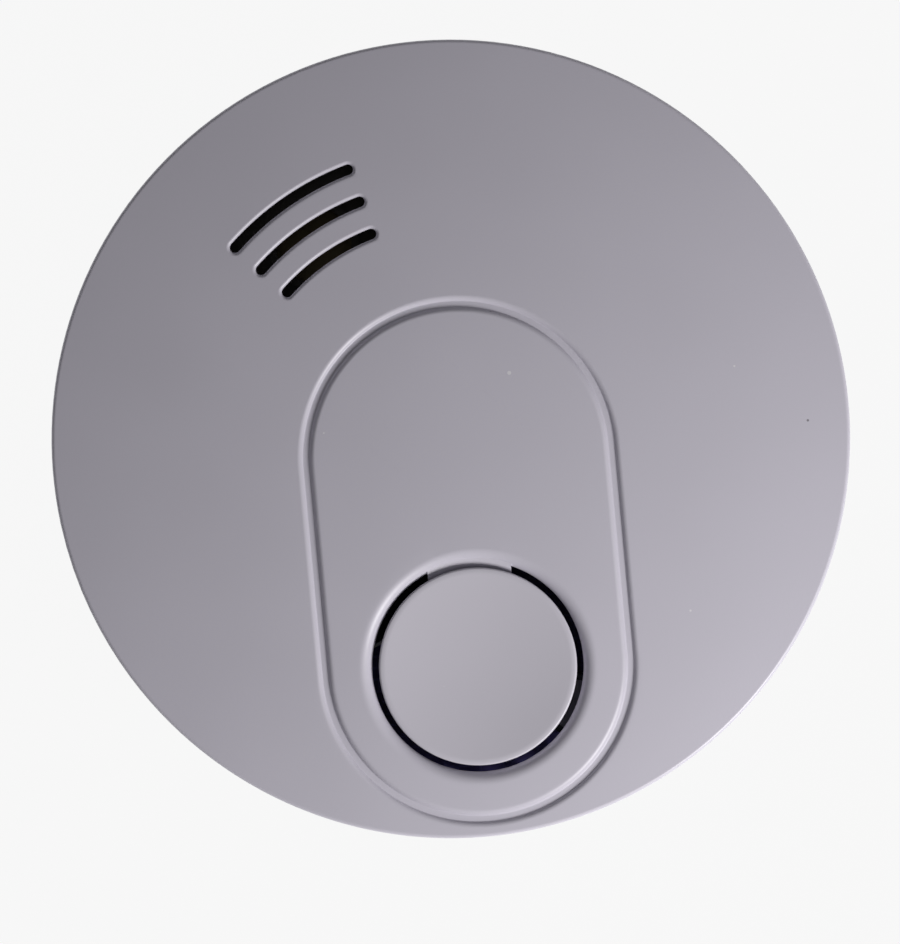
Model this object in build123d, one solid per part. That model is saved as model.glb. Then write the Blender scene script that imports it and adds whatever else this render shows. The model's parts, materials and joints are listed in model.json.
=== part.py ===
from build123d import *
import math
import os

# Round ceiling smoke alarm, built face up on its bracket's mounting face.
# Millimetres. +Z points from the ceiling into the room, Z = 0 is the ceiling side of the bracket.

# ---- overall sizes ----
body_diameter = 105.0
overall_height = 35.0
bracket_diameter = 97.0
housing_diameter = 100.0

# ---- front cover ----
dome_rise = 3.0
face_wall = 2.2
side_wall = 2.0
cover_skirt_height = 16.0
rim_fillet = 0.9

# ---- test button and its hole ----
button_x = 0.85
button_y = -30.07
button_radius = 13.0
button_gap = 0.8
button_edge_fillet = 0.8
button_dish_depth = 1.1
hole_lip_fillet = 1.75
hinge_reach = 1.6
web_width = 11.0
web_thickness = 0.9
web_drop = 1.3
web_root = 1.8
bead_radius = 0.75
hinge_clearance = 0.05
web_side_clearance = 0.1
press_room = 0.15
stem_radius = 2.0
stem_tip_clearance = 0.1
boss_wall = 0.9
boss_side_wall = 1.5

# ---- racetrack channel round the button ----
racetrack_radius = 20.05
racetrack_spacing = 27.65
channel_floor_width = 1.3
channel_depth = 0.55
channel_lip_fillet = 0.45

# ---- sounder slots ----
slot_count = 3
slot_outer_radius = 37.85
slot_pitch = 4.5
slot_width = 1.4
slot_direction = 119.5
slot_half_extent = 14.8
slot_lip_fillet = 0.5

# ---- bracket ----
plate_thickness = 2.0
bracket_rim_wall = 1.9
bracket_rim_height = 5.2
lug_count = 3
lug_direction = 30.0
lug_span = 14.0
lug_thickness = 1.0
lug_depth = 3.1
screw_spacing = 60.0
screw_slot_width = 4.5
screw_slot_length = 10.0
stiffener_radii = (12.0, 40.0)
stiffener_width = 1.2
stiffener_height = 1.0
stop_span = 1.2
stop_gap = 1.1

# ---- rear housing ----
floor_thickness = 1.8
housing_wall = 2.0
housing_height = 7.0
body_gap = 0.3
foot_span = 12.0
foot_flange_thickness = 1.5
foot_stem_width = 2.7
foot_rim_gap = 0.4
window_drop = 1.3
window_rise = 1.1

# ---- vent ring ----
vent_wall = 2.2
vent_slot_count = 60
vent_slot_width = 3.2
vent_rail = 1.2

# ---- cover hooks ----
hook_directions = (75.0, 165.0, 235.0, 315.0)
hook_width = 8.0
hook_thickness = 1.5
hook_catch = 1.3
hook_clearance = 0.3
hook_drop = 1.0
hook_rise = 0.8

# ---- battery and its pocket ----
battery_length = 46.0
battery_width = 26.2
battery_thickness = 17.2
battery_corner = 2.2
battery_skin = 0.5
battery_plate_thickness = 1.6
cell_clearance = 0.1
cell_end_room = 2.0
battery_direction = 15.0
battery_offset = 23.5
battery_clearance = 0.45
pocket_wall = 1.5
terminal_room = 5.2
battery_floor_gap = 0.9
snap_spacing = 12.7
snap_height = 2.4
stud_radius = 2.85
socket_radius = 3.9
socket_bore_radius = 2.9
socket_floor = 0.6
retainer_inset = 0.4
retainer_half_width = 0.6
retainer_start = 8.0
retainer_length = 6.0
retainer_drop = 0.2

# ---- battery contacts and wires ----
block_half_width = 12.6
block_thickness = 1.2
block_drop = 6.0
clip_half_width = 4.6
clip_half_height = 4.4
clip_thickness = 0.4
ear_half_height = 2.2
ear_reach = 3.0
stud_ear_spread = 3.15
socket_ear_spread = 4.2
wire_radius = 0.65
wire_bend = 1.2
wire_height = 6.0
wire_reach = 2.2

# ---- circuit board ----
board_radius = 45.5
board_thickness = 1.6
board_height = 10.5
board_post_radius = 3.2
board_post_offset = 42.4
board_post_directions = (100.0, 178.0, 250.0, 300.0)
board_screw_radius = 1.1
board_cutout_gap = 0.3
screw_head_radius = 2.3
screw_head_height = 1.6
screw_cross_length = 2.8
screw_cross_width = 0.6
lead_hole_radius = 0.4

# ---- smoke chamber ----
chamber_x = -20.0
chamber_y = -8.0
chamber_radius = 19.5
chamber_base_height = 2.0
vane_height = 10.5
vane_count = 24
cap_thickness = 1.6
vane_thickness = 0.8
vane_inset = 4.9
vane_edge = 1.1
vane_tail_length = 1.9
vane_tail_turn = 60.0
vane_free_angle = 22.0
vane_floor_gap = 0.05
mesh_wall = 0.4
mesh_clearance = 0.15
mesh_slot_count = 36
mesh_slot_width = 1.0
mesh_slot_margin = 0.6
mesh_overlap_below = 1.2
mesh_overlap_above = 0.8
optic_radius = 2.5
optic_length = 8.0
optic_angle = 140.0
emitter_direction = 200.0
optic_reach = 10.5
holder_reach = 9.6
holder_half_length = 3.2
holder_half_width = 3.4
holder_cover = 1.2
lead_reach = 14.6
lead_pitch = 2.54
lead_radius = 0.25
lead_bend = 0.6
lead_tail = 0.8
shield_half_width = 3.8
shield_sheet = 0.35
shield_drop = 2.4
shield_gap = 0.2

# ---- sounder ----
horn_direction = 120.0
horn_offset = 31.4
horn_radius = 13.8
horn_wall = 1.3
horn_height = 16.5
horn_sound_hole = 5.0
piezo_radius = 12.0
piezo_height = 9.5
piezo_thickness = 0.3
ceramic_inset = 3.5
ceramic_thickness = 0.25
seat_width = 0.9
seat_height = 1.0
sound_hole_rim = 1.0
sound_hole_rim_height = 0.6
post_radius = 0.6
post_foot_radius = 1.4
post_foot_height = 1.0
rim_post_reach = 9.6

# ---- parts on the board ----
controller_x = 5.3
controller_y = -12.0
controller_width = 6.0
controller_length = 10.0
controller_pin_count = 16
controller_pin_pitch = 1.27
controller_stand = 0.2
controller_height = 2.0
pin_reach = 1.2
pin_width = 0.4
pin_thickness = 0.25
coil_offset = 40.4
coil_direction = 72.7
coil_radius = 4.0
coil_flange = 1.2
coil_height = 9.4
coil_waist = 0.45
winding_inset = 0.5
capacitor_places = ((0.0, 8.0, 3.15), (13.0, -36.5, 4.0))
capacitor_height = 11.0
capacitor_sleeve = 0.15
capacitor_stand = 0.3
capacitor_groove_height = 1.4
capacitor_groove_width = 0.6
capacitor_groove_depth = 0.35
capacitor_top_lap = 0.7
chip_rows = ((-4.0, 13.5, 3, 2), (-9.0, -38.0, 2, 3), (7.5, -37.0, 1, 3))
chip_pitch = 2.8
chip_length = 2.0
chip_width = 1.2
chip_height = 0.6
led_offset_x = 8.2
led_offset_y = 6.0
led_radius = 1.5
led_flange_radius = 1.9
led_flange_height = 1.0
led_stand = 9.0
led_length = 3.6
led_lead_pitch = 1.8
led_lead_width = 0.5

# ---- switch ----
switch_size = 6.0
switch_body_height = 3.6
plunger_radius = 1.75
plunger_clearance = 0.05
collar_width = 0.45
collar_height = 0.8
collar_top_gap = 0.9
collar_room = 0.08
collar_side_room = 0.3
switch_floor = 0.6
leg_pitch = 4.5
leg_width = 0.7
leg_thickness = 0.4
leg_rise = 1.4
leg_tail = 1.0
leg_hole_radius = 0.45
plunger_drop = 9.5

# ---- rating label ----
label_low_corner = (-32.0, -8.0)
label_width = 30.0
label_height = 20.0
label_thickness = 0.15

# ---- worked-out places ----
cover_radius = body_diameter / 2
dome_radius = (cover_radius**2 + dome_rise**2) / (2 * dome_rise)
dome_centre_z = overall_height - dome_radius
cover_bottom = overall_height - cover_skirt_height
floor_bottom = bracket_rim_height + body_gap
floor_top = floor_bottom + floor_thickness
housing_top = floor_bottom + housing_height
housing_radius = housing_diameter / 2
bracket_radius = bracket_diameter / 2
board_top = board_height + board_thickness
hinge_y = button_y + button_radius + hinge_reach
hole_radius = button_radius + button_gap
pocket_length = battery_length + terminal_room + battery_clearance
pocket_width = battery_width + 2 * battery_clearance
battery_bottom = floor_bottom + battery_floor_gap
battery_top = battery_bottom + battery_thickness
battery_middle = (battery_bottom + battery_top) / 2
cell_room = min((battery_thickness / 2 - battery_skin) / 2, (battery_width / 2 - battery_skin) / 3)
pocket_top = battery_top + battery_clearance
chamber_base_top = board_top + chamber_base_height
chamber_top = chamber_base_top + vane_height
optic_height = chamber_base_top + vane_height / 2
horn_top = board_top + horn_height
piezo_seat = board_top + piezo_height
window_middle = floor_top + housing_height / 3
racetrack_middle = button_y + racetrack_spacing / 2


def dome_height(x, y):
    """Height of the cover's outer face above the mounting plane at a point."""
    return dome_centre_z + math.sqrt(dome_radius**2 - x**2 - y**2)


def tube(x, y, bottom, top, outer, inner):
    """Upright tube between two heights."""
    middle = (bottom + top) / 2
    height = top - bottom
    return Pos(x, y, middle) * (Cylinder(outer, height) - Cylinder(inner, height + 1))


def rod(x, y, bottom, top, radius):
    """Upright round bar between two heights."""
    return Pos(x, y, (bottom + top) / 2) * Cylinder(radius, top - bottom)


def block(x_low, x_high, y_low, y_high, z_low, z_high):
    """Box between two corners."""
    centre = Pos((x_low + x_high) / 2, (y_low + y_high) / 2, (z_low + z_high) / 2)
    return centre * Box(x_high - x_low, y_high - y_low, z_high - z_low)


def ring_sector(inner, outer, direction, span, bottom, top):
    """Piece of an upright ring, centred on a direction."""
    start = direction - span / 2
    with BuildSketch() as sketch:
        with BuildLine():
            outside = CenterArc((0, 0), outer, start, span)
            inside = CenterArc((0, 0), inner, start, span)
            Line(outside @ 0, inside @ 0)
            Line(outside @ 1, inside @ 1)
        make_face()
    return Pos(0, 0, bottom) * extrude(sketch.sketch, top - bottom)


def polar(radius, direction):
    """X and Y of a point given by its radius and direction in degrees."""
    angle = math.radians(direction)
    return radius * math.cos(angle), radius * math.sin(angle)


def on_battery_axes():
    """Turn that carries the battery's own axes to its place beside the centre."""
    x, y = polar(battery_offset, battery_direction)
    return Pos(x, y, 0) * Rot(0, 0, battery_direction)


def ball(radius):
    """Ball about the dome's centre of curvature."""
    return Pos(0, 0, dome_centre_z) * Sphere(radius)


def edges_near_height(shape, surface_height, tolerance, x, y, reach):
    """Edges whose ends and middle lie on a surface height and near a point."""
    found = []
    for edge in shape.edges():
        points = [edge @ 0, edge @ 0.5, edge @ 1]
        on_surface = all(abs(p.Z - surface_height(p.X, p.Y)) < tolerance for p in points)
        if on_surface and all(math.hypot(p.X - x, p.Y - y) < reach for p in points):
            found.append(edge)
    return found


def cover_shell():
    """Domed face and skirt, turned about the Z axis."""
    rim_z = dome_height(cover_radius, 0)
    inner_radius = cover_radius - side_wall
    inner_sphere = dome_radius - face_wall
    inner_rim_z = dome_centre_z + math.sqrt(inner_sphere**2 - inner_radius**2)
    half = cover_radius / 2
    inner_half = inner_radius / 2
    inner_half_z = dome_centre_z + math.sqrt(inner_sphere**2 - inner_half**2)
    with BuildSketch(Plane.XZ) as profile:
        with BuildLine():
            ThreePointArc((0, overall_height), (half, dome_height(half, 0)), (cover_radius, rim_z))
            Line((cover_radius, rim_z), (cover_radius, cover_bottom))
            Line((cover_radius, cover_bottom), (inner_radius, cover_bottom))
            Line((inner_radius, cover_bottom), (inner_radius, inner_rim_z))
            ThreePointArc(
                (inner_radius, inner_rim_z),
                (inner_half, inner_half_z),
                (0, overall_height - face_wall),
            )
            Line((0, overall_height - face_wall), (0, overall_height))
        make_face()
        rim_corner = profile.vertices().sort_by(lambda v: v.X * 2 + v.Z)[-1]
        fillet(rim_corner, rim_fillet)
    return revolve(profile.sketch, Axis.Z)


def racetrack_channel():
    """Narrow closed channel, cut to an even depth below the dome."""
    wide = 2 * (racetrack_radius + channel_floor_width / 2)
    narrow = 2 * (racetrack_radius - channel_floor_width / 2)
    outline = SlotCenterToCenter(racetrack_spacing, wide, rotation=90)
    island = SlotCenterToCenter(racetrack_spacing, narrow, rotation=90)
    ring = Pos(button_x, racetrack_middle, cover_bottom) * extrude(outline - island, cover_skirt_height)
    return ring - ball(dome_radius - channel_depth)


def sounder_slots():
    """Curved slots with round ends, all on the body's own centre."""
    cutters = []
    for index in range(slot_count):
        radius = slot_outer_radius - index * slot_pitch
        half = slot_half_extent - math.degrees(slot_width / 2 / radius)
        arc = CenterArc((0, 0), radius, slot_direction - half, 2 * half)
        slot = extrude(SlotArc(arc, slot_width), cover_skirt_height)
        cutters.append(Pos(0, 0, cover_bottom + side_wall) * slot)
    return cutters


def hinge_height():
    """Height of the button's hinge axis: the middle of its web."""
    edge_y = button_y + button_radius + button_gap / 2
    return dome_height(button_x, edge_y) - web_drop - web_thickness / 2


def hinge_boss():
    """Thickening under the cover's face that holds the hinge bead."""
    z = hinge_height()
    half = web_width / 2 + web_side_clearance + boss_side_wall
    reach = bead_radius + hinge_clearance + boss_wall
    boss = block(
        button_x - half,
        button_x + half,
        hinge_y - reach / 2,
        hinge_y + reach,
        z - reach,
        overall_height,
    )
    return boss & ball(dome_radius - face_wall / 2)


def hinge_pocket():
    """Round seat for the bead and the mouth that lets the web through."""
    z = hinge_height()
    width = web_width + 2 * web_side_clearance
    seat = Cylinder(bead_radius + hinge_clearance, width, rotation=(0, 90, 0))
    mouth_half = web_thickness / 2 + hinge_clearance
    mouth = block(
        button_x - width / 2,
        button_x + width / 2,
        button_y + button_radius / 2,
        hinge_y,
        z - mouth_half - press_room,
        z + mouth_half,
    )
    return Pos(button_x, hinge_y, z) * seat + mouth


def snap_hook(direction):
    """One hook that hangs from the cover into a window of the housing."""
    outer = housing_radius - housing_wall - hook_clearance
    inner = outer - hook_thickness
    span = math.degrees(hook_width / outer)
    bottom = window_middle - hook_drop
    stem = ring_sector(inner, outer, direction, span, bottom, overall_height)
    barb = ring_sector(outer - 0.5, outer + hook_catch, direction, span, bottom, window_middle + hook_rise)
    return (stem & ball(dome_radius - face_wall / 2)) + barb


def front_cover():
    """Cover with its channel, slots, button hole, hinge seat and hooks."""
    shell = cover_shell()
    shell -= racetrack_channel()
    for cutter in sounder_slots():
        shell -= cutter
    shell -= rod(button_x, button_y, cover_bottom + side_wall, overall_height + 1, hole_radius)
    lip = min(hole_lip_fillet, face_wall - 0.4)
    hole_edges = edges_near_height(shell, dome_height, 0.02, button_x, button_y, hole_radius + 0.05)
    shell = fillet(hole_edges, lip)
    face_edges = edges_near_height(shell, dome_height, 0.02, 0, 0, cover_radius - side_wall)
    shell = fillet([edge for edge in face_edges if in_slot_area(edge @ 0.5)], slot_lip_fillet)
    lip_radii = (racetrack_radius - channel_floor_width / 2, racetrack_radius + channel_floor_width / 2)
    channel_edges = [
        edge
        for edge in edges_near_height(shell, dome_height, 0.02, 0, 0, cover_radius)
        if min(abs(racetrack_distance(edge @ 0.5) - radius) for radius in lip_radii) < 0.02
    ]
    shell = fillet(channel_edges, channel_lip_fillet)
    shell += hinge_boss()
    shell -= rod(button_x, button_y, cover_bottom, hinge_height() - 1.0, hole_radius)
    shell -= hinge_pocket()
    for direction in hook_directions:
        shell += snap_hook(direction)
    return shell


def in_slot_area(point):
    """Whether a point lies in the ring sector that holds the sounder slots."""
    inner = slot_outer_radius - slot_count * slot_pitch
    outer = slot_outer_radius + slot_width
    direction = math.degrees(math.atan2(point.Y, point.X))
    near = abs(direction - slot_direction) < 1.2 * slot_half_extent
    return near and inner < math.hypot(point.X, point.Y) < outer


def racetrack_distance(point):
    """Distance from the racetrack's straight spine in plan."""
    half = racetrack_spacing / 2
    along = max(-half, min(half, point.Y - racetrack_middle))
    return math.hypot(point.X - button_x, point.Y - racetrack_middle - along)


def test_button():
    """Dished button with its web, hinge bead and stem."""
    lean = math.hypot(button_x, button_y) / dome_radius
    normal = Vector(button_x, button_y, dome_height(button_x, button_y) - dome_centre_z).normalized()
    rim_curve = 1 / (2 * dome_radius)
    dish_radius = 1 / (2 * (button_dish_depth / button_radius**2 - rim_curve))
    dish_centre = Vector(0, 0, dome_centre_z) + normal * (dome_radius - button_dish_depth + dish_radius)
    disc = rod(button_x, button_y, cover_bottom + side_wall, overall_height + 1, button_radius)
    disc -= ball(dome_radius - face_wall - button_dish_depth * lean)
    disc -= Pos(dish_centre) * Sphere(dish_radius)
    lowest = dome_height(button_x, button_y - button_radius) - face_wall / 2
    top_edges = [edge for edge in disc.edges() if (edge @ 0.5).Z > lowest]
    disc = fillet(top_edges, button_edge_fillet)
    z = hinge_height()
    web = block(
        button_x - web_width / 2,
        button_x + web_width / 2,
        button_y + button_radius - web_root,
        hinge_y,
        z - web_thickness / 2,
        z + web_thickness / 2,
    )
    bead = Pos(button_x, hinge_y, z) * Cylinder(bead_radius, web_width, rotation=(0, 90, 0))
    stem_top = dome_height(button_x, button_y) - face_wall + stem_radius / 4
    stem = rod(button_x, button_y, stem_tip() + stem_radius, stem_top, stem_radius)
    tip = Pos(button_x, button_y, stem_tip() + stem_radius) * Sphere(stem_radius)
    return disc + web + bead + stem + tip


def plunger_top():
    """Height of the switch plunger's tip at rest."""
    return hinge_height() - plunger_drop


def stem_tip():
    """Height of the stem's rounded end at rest."""
    return plunger_top() + stem_tip_clearance


def switch_plunger():
    """Round plunger with a collar that keeps it in the switch."""
    top = board_top + switch_body_height - collar_top_gap
    shank = rod(button_x, button_y, top - collar_height, plunger_top(), plunger_radius)
    collar = rod(button_x, button_y, top - collar_height, top, plunger_radius + collar_width)
    return shank + collar


def test_switch_body():
    """Square switch case with a bore for the plunger and room for its collar."""
    half = switch_size / 2
    top = board_top + switch_body_height
    case = block(button_x - half, button_x + half, button_y - half, button_y + half, board_top, top)
    room = plunger_radius + collar_width + collar_side_room
    floor = board_top + switch_floor
    case -= rod(button_x, button_y, floor, top + 1, plunger_radius + plunger_clearance)
    case -= rod(button_x, button_y, floor, top - collar_top_gap + collar_room, room)
    return case


def switch_leg_places():
    """Centres of the switch's four legs, with the side each one stands on."""
    places = []
    for side in (-1, 1):
        for end in (-1, 1):
            x = button_x + side * (switch_size / 2 + leg_thickness / 2)
            places.append((x, button_y + end * leg_pitch / 2))
    return places


def switch_terminals():
    """Four flat legs that pass the board beside the switch."""
    half_x = leg_thickness / 2
    half_y = leg_width / 2
    low = board_height - leg_tail
    high = board_top + leg_rise
    legs = []
    for x, y in switch_leg_places():
        legs.append(block(x - half_x, x + half_x, y - half_y, y + half_y, low, high))
    return legs


def mounting_bracket():
    """Plate, rim, bayonet lugs and the two screw slots."""
    body = rod(0, 0, 0, plate_thickness, bracket_radius)
    inner = bracket_radius - bracket_rim_wall
    body += tube(0, 0, plate_thickness - 0.5, bracket_rim_height, bracket_radius, inner)
    stiffener_top = plate_thickness + stiffener_height
    for radius in stiffener_radii:
        body += tube(0, 0, plate_thickness - 0.5, stiffener_top, radius, radius - stiffener_width)
    for index in range(lug_count):
        direction = lug_direction + index * 360 / lug_count
        low = bracket_rim_height - lug_thickness
        lug_inner = inner - lug_depth
        body += ring_sector(lug_inner, inner + 0.5, direction, lug_span, low, bracket_rim_height)
        stop = direction - foot_span / 2 - stop_gap
        low = plate_thickness - 0.5
        body += ring_sector(lug_inner, inner + 0.5, stop, stop_span, low, bracket_rim_height)
    for side in (-1, 1):
        slot = SlotOverall(screw_slot_length, screw_slot_width)
        body -= Pos(side * screw_spacing / 2, 0, -1) * extrude(slot, plate_thickness + 3)
    return body


def bayonet_foot(direction):
    """Foot under the housing whose flange sits below a bracket lug."""
    lug_inner = bracket_radius - bracket_rim_wall - lug_depth
    stem_outer = lug_inner - body_gap
    flange_top = bracket_rim_height - lug_thickness - body_gap
    flange_bottom = flange_top - foot_flange_thickness
    flange_outer = bracket_radius - bracket_rim_wall - foot_rim_gap
    stem_inner = stem_outer - foot_stem_width
    stem_top = floor_bottom + 0.5
    stem = ring_sector(stem_inner, stem_outer, direction, foot_span, flange_bottom, stem_top)
    flange = ring_sector(stem_outer - 0.5, flange_outer, direction, foot_span, flange_bottom, flange_top)
    return stem + flange


def pocket_shell():
    """Walls and roof of the battery pocket, on the battery's axes."""
    half_x = pocket_width / 2
    half_y = pocket_length / 2
    outside = block(
        -half_x - pocket_wall,
        half_x + pocket_wall,
        -half_y - pocket_wall,
        half_y + pocket_wall,
        floor_bottom,
        pocket_top + pocket_wall,
    )
    inside = block(-half_x, half_x, -half_y, half_y, floor_bottom - 1, pocket_top)
    return outside, inside


def board_post_places():
    """Centres of the posts that carry the circuit board."""
    return [polar(board_post_offset, direction) for direction in board_post_directions]


def rear_housing():
    """Shallow pan with battery pocket, board posts, hook windows and feet."""
    body = rod(0, 0, floor_bottom, floor_top, housing_radius)
    body += tube(0, 0, floor_bottom, housing_top, housing_radius, housing_radius - housing_wall)
    outside, inside = pocket_shell()
    body += on_battery_axes() * outside
    body -= on_battery_axes() * inside
    for x, y in board_post_places():
        body += rod(x, y, floor_top - 0.5, board_height, board_post_radius)
        body -= rod(x, y, floor_top, board_height + 1, board_screw_radius)
    span = math.degrees((hook_width + 2 * hook_clearance) / housing_radius)
    low = window_middle - window_drop
    high = window_middle + window_rise
    for direction in hook_directions:
        inner = housing_radius - housing_wall - 1
        body -= ring_sector(inner, housing_radius + 1, direction, span, low, high)
    for index in range(lug_count):
        body += bayonet_foot(lug_direction + index * 360 / lug_count)
    for side in (-1, 1):
        x = side * (pocket_width / 2 - retainer_inset)
        retainer = block(
            x - retainer_half_width,
            x + retainer_half_width,
            retainer_start,
            retainer_start + retainer_length,
            floor_bottom,
            battery_bottom - retainer_drop,
        )
        body += on_battery_axes() * retainer
    return body


def vent_ring():
    """Slotted ring between housing and cover that lets smoke in."""
    inner = housing_radius - vent_wall
    body = tube(0, 0, housing_top, cover_bottom, housing_radius, inner)
    body += tube(0, 0, cover_bottom - vent_rail, cover_bottom, cover_radius - side_wall / 2, inner)
    low = housing_top + vent_rail
    high = cover_bottom - vent_rail - 0.5
    half = vent_slot_width / 2
    cutter = block(inner - 1, housing_radius + 1, -half, half, low, high)
    for index in range(vent_slot_count):
        body -= Rot(0, 0, index * 360 / vent_slot_count) * cutter
    return body


def circuit_board():
    """Round board with a cut-out for the battery pocket and screw holes."""
    board = rod(0, 0, board_height, board_top, board_radius)
    half_x = pocket_width / 2 + pocket_wall + board_cutout_gap
    half_y = pocket_length / 2 + pocket_wall + board_cutout_gap
    board -= on_battery_axes() * block(-half_x, 2 * board_radius, -half_y, half_y, 0, overall_height)
    for x, y in board_post_places():
        board -= rod(x, y, board_height - 1, board_top + 1, board_screw_radius + 0.3)
    for x, y in switch_leg_places():
        board -= rod(x, y, board_height - 1, board_top + 1, leg_hole_radius)
    for x, y in sensor_lead_places():
        board -= rod(x, y, board_height - 1, board_top + 1, lead_hole_radius)
    return max(board.solids(), key=lambda solid: solid.volume)


def board_screws():
    """Pan-head screws that hold the board to its posts."""
    screws = []
    for x, y in board_post_places():
        top = board_top + screw_head_height
        head = rod(x, y, board_top, top, screw_head_radius)
        head -= Pos(x, y, top) * Box(screw_cross_width, screw_cross_length, screw_head_height)
        head -= Pos(x, y, top) * Box(screw_cross_length, screw_cross_width, screw_head_height)
        shank = rod(x, y, floor_top + 0.6, board_top + 0.2, board_screw_radius - 0.02)
        screws.append(head + shank)
    return screws


def optic_direction(index):
    """Directions in which emitter and receiver sit from the chamber's centre."""
    return emitter_direction - index * optic_angle


def optic_place(index, distance):
    """Point on an optic's axis, given by its distance from the chamber centre."""
    x, y = polar(distance, optic_direction(index))
    return chamber_x + x, chamber_y + y


def sensor_lead_places():
    """Centres of the emitter's and receiver's two leads each."""
    places = []
    for index in range(2):
        x, y = optic_place(index, lead_reach)
        side_x, side_y = polar(lead_pitch / 2, optic_direction(index) + 90)
        places.append((x + side_x, y + side_y))
        places.append((x - side_x, y - side_y))
    return places


def optic(index):
    """Round-nosed optical part lying level, nose towards the centre."""
    x, y = optic_place(index, optic_reach)
    turn = Pos(x, y, optic_height) * Rot(0, 0, optic_direction(index) + 180)
    barrel = Cylinder(optic_radius, optic_length - optic_radius, rotation=(0, 90, 0))
    nose = Pos((optic_length - optic_radius) / 2, 0, 0) * Sphere(optic_radius)
    return turn * (barrel + nose)


def sensor_leads():
    """Bent leads from both optical parts down through the board."""
    leads = []
    back = optic_reach + (optic_length - optic_radius) / 2
    for index in range(2):
        for side in (-1, 1):
            side_x, side_y = polar(side * lead_pitch / 2, optic_direction(index) + 90)
            start_x, start_y = optic_place(index, back)
            end_x, end_y = optic_place(index, lead_reach)
            route = FilletPolyline(
                (start_x + side_x, start_y + side_y, optic_height),
                (end_x + side_x, end_y + side_y, optic_height),
                (end_x + side_x, end_y + side_y, board_height - lead_tail),
                radius=lead_bend,
            )
            section = Plane(origin=route @ 0, z_dir=route % 0) * Circle(lead_radius)
            leads.append(sweep(section, route))
    return leads


def chamber_base():
    """Floor of the smoke chamber with the two optical holders."""
    base = rod(chamber_x, chamber_y, board_top, chamber_base_top, chamber_radius)
    for index in range(2):
        x, y = optic_place(index, holder_reach)
        turn = Pos(x, y, 0) * Rot(0, 0, optic_direction(index) + 180)
        holder = block(
            -holder_half_length,
            holder_half_length,
            -holder_half_width,
            holder_half_width,
            chamber_base_top - 0.5,
            optic_height + holder_cover,
        )
        bore = Pos(0, 0, optic_height) * Cylinder(optic_radius + 0.02, 20, rotation=(0, 90, 0))
        base += turn * holder
        base -= turn * bore
    for x, y in sensor_lead_places():
        base -= rod(x, y, board_top - 1, chamber_base_top + 1, 2 * lead_radius)
    return base


def chamber_cap():
    """Lid of the smoke chamber with its ring of light-trap vanes."""
    cap = rod(chamber_x, chamber_y, chamber_top, chamber_top + cap_thickness, chamber_radius)
    low = chamber_base_top + vane_floor_gap
    high = chamber_top + 0.3
    half = vane_thickness / 2
    edge = chamber_radius - vane_edge
    vane = block(chamber_radius - vane_inset, edge, -half, half, low, high)
    tail = Rot(0, 0, vane_tail_turn) * block(-half / 2, vane_tail_length, -half, half, low, high)
    tail = Pos(edge - half / 2, 0, 0) * tail
    for number in range(vane_count):
        direction = number * 360 / vane_count
        apart = [abs((direction - optic_direction(index) + 180) % 360 - 180) for index in range(2)]
        if min(apart) < vane_free_angle:
            continue
        cap += Pos(chamber_x, chamber_y, 0) * Rot(0, 0, direction) * (vane + tail)
    return cap


def insect_mesh():
    """Slotted band round the vanes that keeps insects out."""
    inner = chamber_radius + mesh_clearance
    low = chamber_base_top - mesh_overlap_below
    high = chamber_top + mesh_overlap_above
    band = tube(chamber_x, chamber_y, low, high, inner + mesh_wall, inner)
    half = mesh_slot_width / 2
    slot_low = chamber_base_top + mesh_slot_margin
    slot_high = chamber_top - mesh_slot_margin
    cutter = block(inner - 1, inner + 2, -half, half, slot_low, slot_high)
    for index in range(mesh_slot_count):
        band -= Pos(chamber_x, chamber_y, 0) * Rot(0, 0, index * 360 / mesh_slot_count) * cutter
    return band


def receiver_shield():
    """Folded metal shield over the receiver."""
    x, y = optic_place(1, holder_reach)
    turn = Pos(x, y, 0) * Rot(0, 0, optic_direction(1) + 180)
    top = optic_height + optic_radius + shield_sheet + shield_gap
    low = optic_height - shield_drop
    long = holder_half_length
    wide = shield_half_width
    hollow = wide - shield_sheet
    outer = block(-long, long, -wide, wide, low, top)
    inner = block(-long - 1, long + 1, -hollow, hollow, low - 1, top - shield_sheet)
    return turn * (outer - inner)


def horn_centre():
    """Plan position of the sounder."""
    return polar(horn_offset, horn_direction)


def horn_housing():
    """Resonator cup over the piezo disc, open below."""
    x, y = horn_centre()
    cup = tube(x, y, board_top, horn_top, horn_radius, horn_radius - horn_wall)
    cup += rod(x, y, horn_top - horn_wall, horn_top, horn_radius - 0.5)
    cup -= rod(x, y, horn_top - horn_wall - 1, horn_top + 1, horn_sound_hole)
    seat_inner = piezo_radius - seat_width
    cup += tube(x, y, piezo_seat - seat_height, piezo_seat, horn_radius - 0.5, seat_inner)
    rim_top = horn_top + sound_hole_rim_height
    rim_outer = horn_sound_hole + sound_hole_rim
    cup += tube(x, y, horn_top - 0.5, rim_top, rim_outer, horn_sound_hole)
    return cup


def piezo_plate():
    """Brass disc of the sounder."""
    x, y = horn_centre()
    return rod(x, y, piezo_seat, piezo_seat + piezo_thickness, piezo_radius)


def piezo_ceramic():
    """Silvered ceramic disc on the underside of the brass disc."""
    x, y = horn_centre()
    return rod(x, y, piezo_seat - ceramic_thickness, piezo_seat, piezo_radius - ceramic_inset)


def horn_contacts():
    """Spring posts that carry current from the board to the disc."""
    x, y = horn_centre()
    posts = []
    for reach, top in ((0.0, piezo_seat - ceramic_thickness), (rim_post_reach, piezo_seat)):
        post = rod(x, y - reach, board_top, top - 0.02, post_radius)
        post += rod(x, y - reach, board_top, board_top + post_foot_height, post_foot_radius)
        posts.append(post)
    return posts


def controller_ic():
    """Flat plastic package of the controller."""
    half = controller_width / 2
    reach = controller_length / 2
    low = board_top + controller_stand
    package = block(-half, half, -reach, reach, low, low + controller_height)
    return Pos(controller_x, controller_y, 0) * package


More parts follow.
